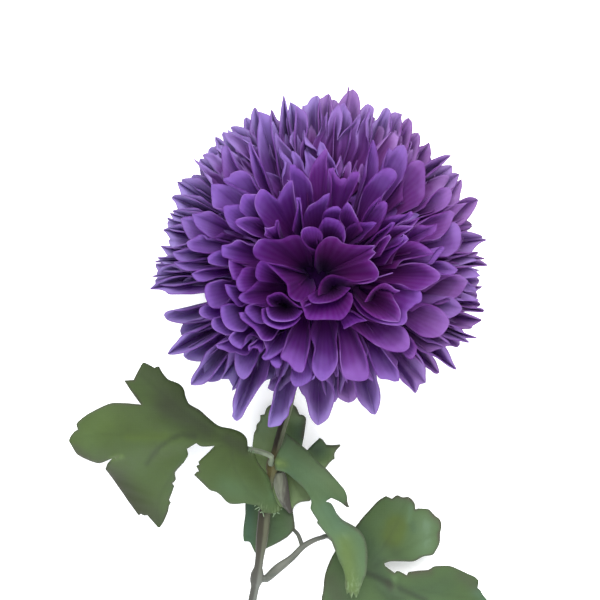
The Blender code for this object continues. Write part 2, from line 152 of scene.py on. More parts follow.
class Finish(Tree):
    """The nodes of one material."""

    def __init__(self, name):
        self.material = bpy.data.materials.new(name)
        self.material.use_nodes = True
        super().__init__(self.material.node_tree)
        self.shader = self.tree.nodes["Principled BSDF"]

    def place(self):
        return self.node("ShaderNodeTexCoord", out="Object")

    def attribute(self, name):
        return self.node("ShaderNodeAttribute", {"attribute_name": name}, out="Fac")

    def noise(self, size, detail=2, stretch=(1, 1, 1)):
        """Soft spots of a size in metres, drawn out where stretch is under 1."""
        scales = tuple(share / size for share in stretch)
        place = self.node("ShaderNodeVectorMath", {"operation": "MULTIPLY"}, {0: self.place(), 1: scales})
        return self.node("ShaderNodeTexNoise", sockets={"Vector": place, "Scale": 1, "Detail": detail})

    def ramp(self, share, *stops):
        return self.node("ShaderNodeValToRGB", {"stops": stops}, {"Fac": share})

    def mix(self, share, first, second, how="MIX"):
        settings = {"data_type": "RGBA", "blend_type": how}
        return self.node("ShaderNodeMix", settings, {0: share, 6: first, 7: second}, out=2)

    def coat(self, colour, roughness, relief, depth, **constants):
        """Joins the finish up. relief runs from about 0 to 1 and stands depth metres high."""
        bump = self.node("ShaderNodeBump", sockets={"Height": relief, "Distance": depth, "Strength": 1})
        self.join(colour, self.shader.inputs["Base Color"])
        self.join(roughness, self.shader.inputs["Roughness"])
        self.join(bump, self.shader.inputs["Normal"])
        for name, value in constants.items():
            self.join(value, self.shader.inputs[name.replace("_", " ")])
        return self.material

    def let_through(self, share, tint):
        """Lets a share of the light shine through, as thin cloth does."""
        glow = self.node("ShaderNodeBsdfTranslucent", sockets={"Color": tint})
        cloth = Value(self, self.shader.outputs["BSDF"])
        both = self.node("ShaderNodeMixShader", sockets={0: share, 1: cloth, 2: glow})
        self.join(both, self.tree.nodes["Material Output"].inputs["Surface"])


class Shape(Tree):
    """A Geometry Nodes tree that makes a finished mesh out of an object's points or lines."""

    def __init__(self, name, **sizes):
        group = bpy.data.node_groups.new(name, "GeometryNodeTree")
        given = {"Geometry": "Geometry", **sizes, "Finish": "Material"}
        for size, kind in given.items():
            group.interface.new_socket(size, in_out="INPUT", socket_type="NodeSocket" + kind)
        group.interface.new_socket("Geometry", in_out="OUTPUT", socket_type="NodeSocketGeometry")
        super().__init__(group)
        self.given = group.nodes.new("NodeGroupInput")

    def size(self, name):
        return Value(self, self.given.outputs[name])

    def named(self, name, kind="FLOAT"):
        return self.node("GeometryNodeInputNamedAttribute", {"data_type": kind}, {"Name": name})

    def close(self, shape):
        shape = self.node("GeometryNodeSetShadeSmooth", sockets={"Geometry": shape})
        shape = self.node("GeometryNodeRealizeInstances", sockets={"Geometry": shape})
        sockets = {"Geometry": shape, "Material": self.size("Finish")}
        shape = self.node("GeometryNodeSetMaterial", sockets=sockets)
        self.join(shape, self.tree.nodes.new("NodeGroupOutput").inputs[0])

    def make(self, thing, **sizes):
        """Runs the tree on an object and keeps the outcome as a plain mesh of the same name."""
        step = thing.modifiers.new("shape", "NODES")
        step.node_group = self.tree
        for socket in self.tree.interface.items_tree:
            if socket.name in sizes and socket.in_out == "INPUT":
                step[socket.identifier] = sizes[socket.name]
        graph = bpy.context.evaluated_depsgraph_get()
        mesh = bpy.data.meshes.new_from_object(thing.evaluated_get(graph))
        name = thing.name
        bpy.data.objects.remove(thing)
        return new_piece(name, mesh)


def new_piece(name, mesh):
    piece = bpy.data.objects.new(name, mesh)
    bpy.context.scene.collection.objects.link(piece)
    return piece


def new_mesh(name, points, edges, faces, **values):
    """A mesh with named values at its points, whole numbers, numbers or vectors."""
    mesh = bpy.data.meshes.new(name)
    mesh.from_pydata(points, edges, faces)
    for value, numbers in values.items():
        if isinstance(numbers[0], int):
            layer, field = mesh.attributes.new(value, "INT", "POINT"), "value"
        elif isinstance(numbers[0], float):
            layer, field = mesh.attributes.new(value, "FLOAT", "POINT"), "value"
        else:
            layer, field = mesh.attributes.new(value, "FLOAT_VECTOR", "POINT"), "vector"
        for item, number in zip(layer.data, numbers):
            setattr(item, field, number)
    return mesh


def fasten(piece, slot, *nodes):
    """Moves a finished piece into the frame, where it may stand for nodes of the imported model."""
    piece.data.transform(Matrix.Translation(-FOOTPRINT_CENTRE))
    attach(piece, "root")
    if nodes:
        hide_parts(*nodes)


def smooth_path(points, step, closed=False):
    """Points about a step apart on a smooth curve through the given ones."""
    points = [Vector(point) for point in points]
    count = len(points)
    path = []
    for i in range(count if closed else count - 1):
        if closed:
            a, b, c, d = (points[(i + k) % count] for k in (-1, 0, 1, 2))
        else:
            a, b, c, d = (points[min(max(i + k, 0), count - 1)] for k in (-1, 0, 1, 2))
        pieces = max(1, round((c - b).length / step))
        for k in range(pieces):
            t = k / pieces
            bend = (2 * a - 5 * b + 4 * c - d) * t**2 + (3 * b - a - 3 * c + d) * t**3
            path.append((2 * b + (c - a) * t + bend) / 2)
    return path if closed else path + [points[-1]]


def from_mm(route):
    return [Vector(point) * MM for point in route]


STEM_RADIUS = 1.8 * MM
RING_RADIUS = 2.8 * MM
RING_LENGTH = 3.2 * MM
THICK_PLACE = -113 * MM
THICK_REACH = 12 * MM
THICK_EXTRA = 0.8 * MM
WIRE_RADIUS = 0.8 * MM
SEAT_GAP = 0.3 * MM
NECK_TOP = 15.7 * MM
STEM_ROUTE = (
    (-0.5, -2.4, 11.2),
    (-1.9, -8.5, 7.6),
    (-4.4, -20, 7),
    (-9, -42, 7.4),
    (-13, -62, 9),
    (-17, -76, 13.5),
    (-20, -88, 17),
    (-23, -104, 17.3),
    (-25, -122, 15.6),
    (-27, -137, 14),
    (-30, -153, 12),
    (-36, -190, 7),
    (-45, -245, 1.9),
)
LEAF_RING = 6
SHOOT_RING = 9


def stalk_shape():
    """A ribbed skin round a line, as thick at each point as the line's value there says."""
    shape = Shape("stalk", Ribs="Int", Depth="Float")
    line = shape.node("GeometryNodeMeshToCurve", sockets={"Mesh": shape.size("Geometry")})
    sockets = {"Resolution": 30, "Radius": 1}
    ring = shape.node("GeometryNodeCurvePrimitiveCircle", sockets=sockets)
    turn = shape.node("GeometryNodeSplineParameter", out="Factor") * (2 * math.pi)
    swell = 1 + shape.size("Depth") * (turn * shape.size("Ribs")).math("COSINE")
    place = shape.node("GeometryNodeInputPosition")
    ribbed = shape.node("ShaderNodeVectorMath", {"operation": "SCALE"}, {0: place, "Scale": swell})
    ring = shape.node("GeometryNodeSetPosition", sockets={"Geometry": ring, "Position": ribbed})
    sockets = {
        "Curve": line,
        "Profile Curve": ring,
        "Scale": shape.named("thickness"),
        "Fill Caps": True,
    }
    shape.close(shape.node("GeometryNodeCurveToMesh", sockets=sockets))
    return shape


def stem_skin():
    """Matt plastic, greyer further down, with painted shade that makes its left side brown and a painted
    highlight that makes its right side pale.
    """
    skin = Finish("stem_plastic")
    across, along, height = skin.parts(skin.place())
    patches = skin.noise(14 * MM, 3, (1, 0.25, 1))
    down = (along * -1 / 120 / MM) + 0.5 + (patches - 0.5) * 0.3
    # left is the painted shade of the side turned from the light, right the painted highlight of the lit
    # side.
    left = skin.ramp(
        down,
        (0.2, (0.006, 0.003, 0.0015)),
        (0.5, (0.014, 0.012, 0.005)),
        (0.72, (0.017, 0.015, 0.008)),
        (0.9, (0.038, 0.038, 0.032)),
    )
    right = skin.ramp(
        down,
        (0.2, (0.125, 0.147, 0.09)),
        (0.5, (0.06, 0.065, 0.036)),
        (0.72, (0.048, 0.05, 0.03)),
        (0.9, (0.078, 0.082, 0.07)),
    )
    grain = skin.noise(0.9 * MM, 3, (1, 0.12, 1))
    lit_side_share = (skin.attribute("side") + (grain - 0.5) * 0.4).between(-0.1, 0.4)
    return skin, skin.mix(lit_side_share, left, right), grain, along


def thickness_at(route, places, usual, rings):
    """Thickness along a smooth route, with a swelling at each ring."""
    result = []
    for point in route:
        swell = 0
        for ring in rings:
            off = (point - places[ring]).length
            swell = max(swell, math.exp(-((off / RING_LENGTH) ** 4)))
        result.append(usual + (RING_RADIUS - usual) * swell)
    return result


def chain(name, *stalks):
    """One mesh with a line for each stalk, given as its points and their thickness."""
    points, edges, thickness = [], [], []
    for route, thick in stalks:
        start = len(points)
        points += route
        thickness += thick
        edges += [(i, i + 1) for i in range(start, len(points) - 1)]
    return new_piece(name, new_mesh(name, points, edges, [], thickness=thickness))


def mark_sides(piece, route, radius):
    """Notes at each point how far it lies to the right of the route, from -1 to 1."""
    line = kdtree.KDTree(len(route))
    for i, place in enumerate(route):
        line.insert(place, i)
    line.balance()
    side = piece.data.attributes.new("side", "FLOAT", "POINT")
    for mark, point in zip(side.data, piece.data.vertices):
        mark.value = (point.co.x - line.find(point.co)[0].x) / radius


stalk = stalk_shape()
stem_places = from_mm(STEM_ROUTE)
stem_route = smooth_path([UP * (NECK_TOP - SEAT_GAP), UP * (NECK_TOP - 1.5 * MM)] + stem_places, 1.4 * MM)
stem_thickness = thickness_at(stem_route, stem_places, STEM_RADIUS, (LEAF_RING, SHOOT_RING))
for i, place in enumerate(stem_route):
    stem_thickness[i] += THICK_EXTRA * math.exp(-(((place.y - THICK_PLACE) / THICK_REACH) ** 4))
cut_end = stem_places[-1]
cut_way = (stem_route[-1] - stem_route[-2]).normalized()
stem_route += [cut_end + cut_way * 0.02 * MM, cut_end + cut_way * 0.9 * MM]
stem_thickness += [WIRE_RADIUS, 0.78 * MM]

skin, colour, grain, along = stem_skin()
ring_y = (stem_places[LEAF_RING] - FOOTPRINT_CENTRE).y
node_band = 1 - ((along - ring_y) * 1000).math("ABSOLUTE").between(3, 9)
colour = skin.mix(node_band * 0.75, colour, (0.06, 0.052, 0.016))
wire_end = 1 - (along * 1000).between(-156.9, -156.6)
colour = skin.mix(wire_end, colour, (0.35, 0.35, 0.36))
skin_material = skin.coat(colour, 0.5 + grain * 0.25, grain, 0.12 * MM, Specular_IOR_Level=0.2)

stem = stalk.make(chain("stem_skin", (stem_route, stem_thickness)), Ribs=7, Depth=0.05, Finish=skin_material)
mark_sides(stem, stem_route, STEM_RADIUS)
fasten(stem, "stem", "stem")


# Side shoot. A thinner moulded stalk that plugs into the lower ring of the stem, swells a little and
# forks: the short branch carries the small leaf and the long one the large leaf.

SHOOT_ROUTE = (
    (-18, -133.2, 13.5),
    (-12, -128.7, 13),
    (-7, -123.8, 12.5),
    (-2, -121, 12.3),
    (2, -119.8, 12.2),
)
FORK_ROUTE = ((-7.6, -123.4, 12.6), (-9.2, -119.2, 10.2), (-11.5, -117, 6))


def stem_place(index):
    """A point of the stem's route and the stem's direction there."""
    before, centre, after = stem_places[index - 1 : index + 2]
    return centre, (after - before).normalized()


def seat_on(index, towards):
    """Two points that lead square out of a ring of the stem."""
    centre, way = stem_place(index)
    off = towards - centre
    off = (off - way * off.dot(way)).normalized()
    return [centre + off * (RING_RADIUS + lift) for lift in (-0.8 * MM, 1.3 * MM)]


def tapered(route, radii, step=1.2 * MM):
    """A smooth route and the thickness at each of its points."""
    path = smooth_path([(*point, radius) for point, radius in zip(route, radii)], step)
    return [point.to_3d() for point in path], [point[3] for point in path]


shoot_skin = Finish("shoot_plastic")
grain = shoot_skin.noise(0.8 * MM, 3, (0.25, 0.6, 1))
patches = shoot_skin.noise(9 * MM)
colour = shoot_skin.mix(patches.between(0.35, 0.65), (0.037, 0.042, 0.031), (0.060, 0.064, 0.049))
colour = shoot_skin.mix(grain.between(0.4, 0.7) * 0.4, colour, (0.076, 0.075, 0.06))
shoot_material = shoot_skin.coat(colour, 0.45 + grain * 0.25, grain, 0.12 * MM, Specular_IOR_Level=0.35)

shoot_route = from_mm(SHOOT_ROUTE)
shoot_route = seat_on(SHOOT_RING, shoot_route[0]) + shoot_route
shoot_stalk = tapered(shoot_route, [r * MM for r in (1.5, 1.7, 2.0, 1.5, 1.3, 1.1, 1.0)])
fork_stalk = tapered(from_mm(FORK_ROUTE), [1.0 * MM, 0.9 * MM, 0.8 * MM])
shoot = chain("side_shoot_skin", shoot_stalk, fork_stalk)
shoot = stalk.make(shoot, Ribs=5, Depth=0.05, Finish=shoot_material)
fasten(shoot, "stem", "side_shoot")


# Calyx. A moulded green cup with pleats that clasps the back of the bloom, and a ring of pointed
# sepals on it. It is glued to the core, and the neck of the stem is pushed into it.

CALYX_TOP = 21.4 * MM
CUP_RADIUS = 10 * MM
SEPAL_COUNT = 8


def turned_cup(name, outline, sides, pleat):
    """A turned solid with soft pleats. outline holds (radius, height) from its top to its bottom."""
    points, faces = [], []
    for radius, height in outline:
        for n in range(sides):
            turn = 2 * math.pi * n / sides
            reach = radius * (1 + pleat * math.cos(12 * turn))
            points.append((reach * math.cos(turn), reach * math.sin(turn), height))
    for row in range(len(outline) - 1):
        for n in range(sides):
            m = (n + 1) % sides
            low, high = (row + 1) * sides, row * sides
            faces.append((high + n, low + n, low + m, high + m))
    faces.append(tuple(range(sides)))
    faces.append(tuple(range(len(points) - 1, len(points) - 1 - sides, -1)))
    return new_piece(name, new_mesh(name, points, [], faces))


def sepal_point(u, v):
    half = 2.6 * MM * math.sin(math.pi * (0.28 + 0.72 * v)) ** 0.8
    along = (6 + 8 * v) * MM
    height = CALYX_TOP - 2.2 * MM + 0.9 * MM * math.sin(math.pi * v) - 0.7 * MM * v + 0.5 * MM * u * u
    return Vector((along, u * half, height))


def sheet(point_at, columns, rows, low=0):
    """Points and faces of a sheet that a rule bends: u from -1 to 1 across it, v up to 1 along it."""
    steps = [low + (1 - low) * row / rows for row in range(rows + 1)]
    marks = [(2 * column / columns - 1, v) for v in steps for column in range(columns + 1)]
    faces = []
    for row in range(rows):
        for column in range(columns):
            a = row * (columns + 1) + column
            faces.append((a, a + 1, a + columns + 2, a + columns + 1))
    return marks, [point_at(u, v) for u, v in marks], faces


def thicken(piece, thickness, rim=None):
    """Gives a sheet its thickness to both sides, and its cut edge a finish of its own."""
    wall = piece.modifiers.new("thickness", "SOLIDIFY")
    wall.thickness = thickness
    wall.offset = 0
    if rim:
        piece.data.materials.append(rim)
        wall.material_offset_rim = 1


def planted_shape():
    """Sets one of a group of shapes on each point, ripples it and keeps it off the table."""
    shape = Shape("planted", Kinds="Collection", Ripple="Float", Ripple_size="Float", Table_gap="Float")
    sockets = {"Collection": shape.size("Kinds"), "Separate Children": True, "Reset Children": True}
    kinds = shape.node("GeometryNodeCollectionInfo", sockets=sockets)
    turned = shape.named("turned", "FLOAT_VECTOR")
    sockets = {
        "Points": shape.size("Geometry"),
        "Instance": kinds,
        "Pick Instance": True,
        "Instance Index": shape.named("kind", "INT"),
        "Rotation": shape.node("FunctionNodeEulerToRotation", sockets={"Euler": turned}),
        "Scale": shape.named("size", "FLOAT_VECTOR"),
    }
    planted = shape.node("GeometryNodeInstanceOnPoints", sockets=sockets)
    planted = shape.node("GeometryNodeRealizeInstances", sockets={"Geometry": planted})
    place = shape.node("GeometryNodeInputPosition")
    sockets = {
        "Vector": place,
        "W": shape.named("chance") * 40,
        "Scale": 1 / shape.size("Ripple_size"),
        "Detail": 1,
    }
    waves = shape.node("ShaderNodeTexNoise", {"noise_dimensions": "4D"}, sockets, out="Color")
    waves = shape.node("ShaderNodeVectorMath", {"operation": "SUBTRACT"}, {0: waves, 1: (0.5, 0.5, 0.5)})
    scale = shape.size("Ripple") * shape.named("grown") ** 1.5
    sockets = {0: waves, "Scale": scale}
    off = shape.node("ShaderNodeVectorMath", {"operation": "SCALE"}, sockets)
    planted = shape.node("GeometryNodeSetPosition", sockets={"Geometry": planted, "Offset": off})
    x, y, z = shape.parts(shape.node("GeometryNodeInputPosition"))
    gap, easing = shape.size("Table_gap"), 1 * MM
    low = (z.math("MINIMUM", easing) - easing) / (easing - gap)
    eased = gap + (easing - gap) * low.math("EXPONENT")
    kept = shape.node("ShaderNodeCombineXYZ", sockets={0: x, 1: y, 2: z.math("MAXIMUM", eased)})
    shape.close(shape.node("GeometryNodeSetPosition", sockets={"Geometry": planted, "Position": kept}))
    return shape


def group_of(name, pieces):
    """Collects the shapes that are planted, out of sight of the render."""
    group = bpy.data.collections.new(name)
    for piece in pieces:
        group.objects.link(piece)
        bpy.context.scene.collection.objects.unlink(piece)
    return group


def clear_group(group):
    for piece in list(group.objects):
        bpy.data.objects.remove(piece)
    bpy.data.collections.remove(group)


calyx_green = Finish("calyx_plastic")
patches = calyx_green.noise(3 * MM)
grain = calyx_green.noise(0.5 * MM)
colour = calyx_green.mix(patches.between(0.35, 0.65), (0.05, 0.10, 0.04), (0.09, 0.15, 0.06))
calyx_material = calyx_green.coat(colour, 0.5 + grain * 0.2, grain, 0.1 * MM)

outline = []
for level, share in ((0, 0.93), (0.4, 0.98), (1.2, 1), (2.2, 0.92), (3.5, 0.66), (4.6, 0.34), (5.7, 0)):
    outline.append((2.2 * MM + (CUP_RADIUS - 2.2 * MM) * share, CALYX_TOP - level * MM))
cup = turned_cup("calyx_cup", outline, 96, 0.02)
cup.data.materials.append(calyx_material)
cup.data.shade_smooth()
fasten(cup, "calyx", "calyx")

planted = planted_shape()
marks, points, faces = sheet(sepal_point, 8, 8)
sepal_kind = group_of("sepal_kinds", [new_piece("sepal", new_mesh("sepal", points, [], faces))])
turns = [Vector((0, 0, 2 * math.pi * (n + 0.5) / SEPAL_COUNT)) for n in range(SEPAL_COUNT)]
sepals = new_mesh(
    "calyx_sepals", [(0, 0, 0)] * SEPAL_COUNT, [], [],
    turned=turns, kind=[0] * SEPAL_COUNT, size=[Vector((1, 1, 1))] * SEPAL_COUNT,
)
sepals = planted.make(
    new_piece("calyx_sepals", sepals),
    Kinds=sepal_kind, Ripple=0.0, Ripple_size=10 * MM, Table_gap=0.25 * MM, Finish=calyx_material,
)
clear_group(sepal_kind)
thicken(sepals, 0.6 * MM)
fasten(sepals, "calyx", "calyx")


# Bloom. Petals of satin cloth with one to five lobes, pressed hollow over a hot iron and strung in rings
# on a dark core, with the petals of the face and the outline cut and bent into place one by one. The dye
# is darkest where they leave the core and palest at their tips, and they part on the left of the ball.
# On the set petals, painted shade darkens them towards the pit and along their sides. The pale line on
# the cut edges is partly a painted highlight, and the tint holds painted cool light on the left and warm
# light on the right.

BLOOM_RADIUS = 70 * MM
CORE_RADIUS = 0.6 * BLOOM_RADIUS
CORE_FRONT = 0.52 * BLOOM_RADIUS
CORE_BACK = 0.21 * BLOOM_RADIUS
CORE_ROWS = 36
FRONT_FULLNESS = 1.07
BACK_FULLNESS = 0.97
ROOT_SHARE = 0.84
BLOOM_HEIGHT = 0.52 * BLOOM_RADIUS
BLOOM_CENTRE = Vector((0, 0, BLOOM_HEIGHT))
FACE_TILT = math.radians(8)
RING_COUNT = 13
FIRST_RING = 3
FRONT_RING = math.radians(15)
BACK_RING = math.radians(127)
PETALS_AT_EQUATOR = 13
SEED = 29
STEM_AZIMUTH = math.radians(-90 - 12)
STEM_GAP_ANGLE = math.radians(17)
STEM_GAP_START = math.radians(110)
PARTING_AZIMUTH = math.radians(199)
PARTING_ANGLE = math.radians(16)
PARTING_START = math.radians(48)
PETAL_THICKNESS = 0.32 * MM
USUAL_LENGTH = 36
RING_REACH = 0.82 * BLOOM_RADIUS
FIRST_RING_SHARE = 0.82
OUTER_RINGS_START = math.radians(65)
OUTER_BREADTH = 60.5 * MM
LOW_BREADTH = 51 * MM
LOW_AZIMUTH = math.radians(260)
LOW_ANGLE = math.radians(62)

# Lobes, width, notch, sharpness, cup, cup of each lobe, bow, curl and wave of each form that is pressed
PETAL_SHAPES = (
    (1, 0.34, 0.22, 0.50, 0.36, 0, 0.06, 0.04, 0.03),
    (1, 0.28, 0.30, 0.70, 0.30, 0, 0.05, 0.14, 0.04),
    (3, 0.56, 0.26, 0.52, 0.10, 0.26, 0.06, 0.06, 0.04),
    (3, 0.50, 0.32, 0.66, 0.22, 0.20, 0.04, 0.16, 0.05),
    (4, 0.60, 0.22, 0.30, 0.06, 0.24, 0.06, 0.06, 0.05),
    (4, 0.56, 0.25, 0.40, 0.18, 0.20, 0.05, 0.18, 0.06),
    (5, 0.68, 0.22, 0.35, -0.04, 0.20, 0.06, -0.04, 0.06),
)
# How much the edges roll in, the lobes crease, the tips nod, the lobes sway and the edge frills after
# pressing, where the frill starts, and how much shorter one lobe is
PETAL_WAYS = (
    (0.10, 0.12, 0.03, 0.02, 0.020, 0.0, 0.05),
    (-0.12, 0.05, -0.05, -0.03, 0.034, 2.1, -0.09),
    (0.20, 0.18, 0.10, 0.04, 0.026, 4.0, 0.03),
    (0.02, 0.02, -0.02, -0.05, 0.045, 5.2, 0.12),
)
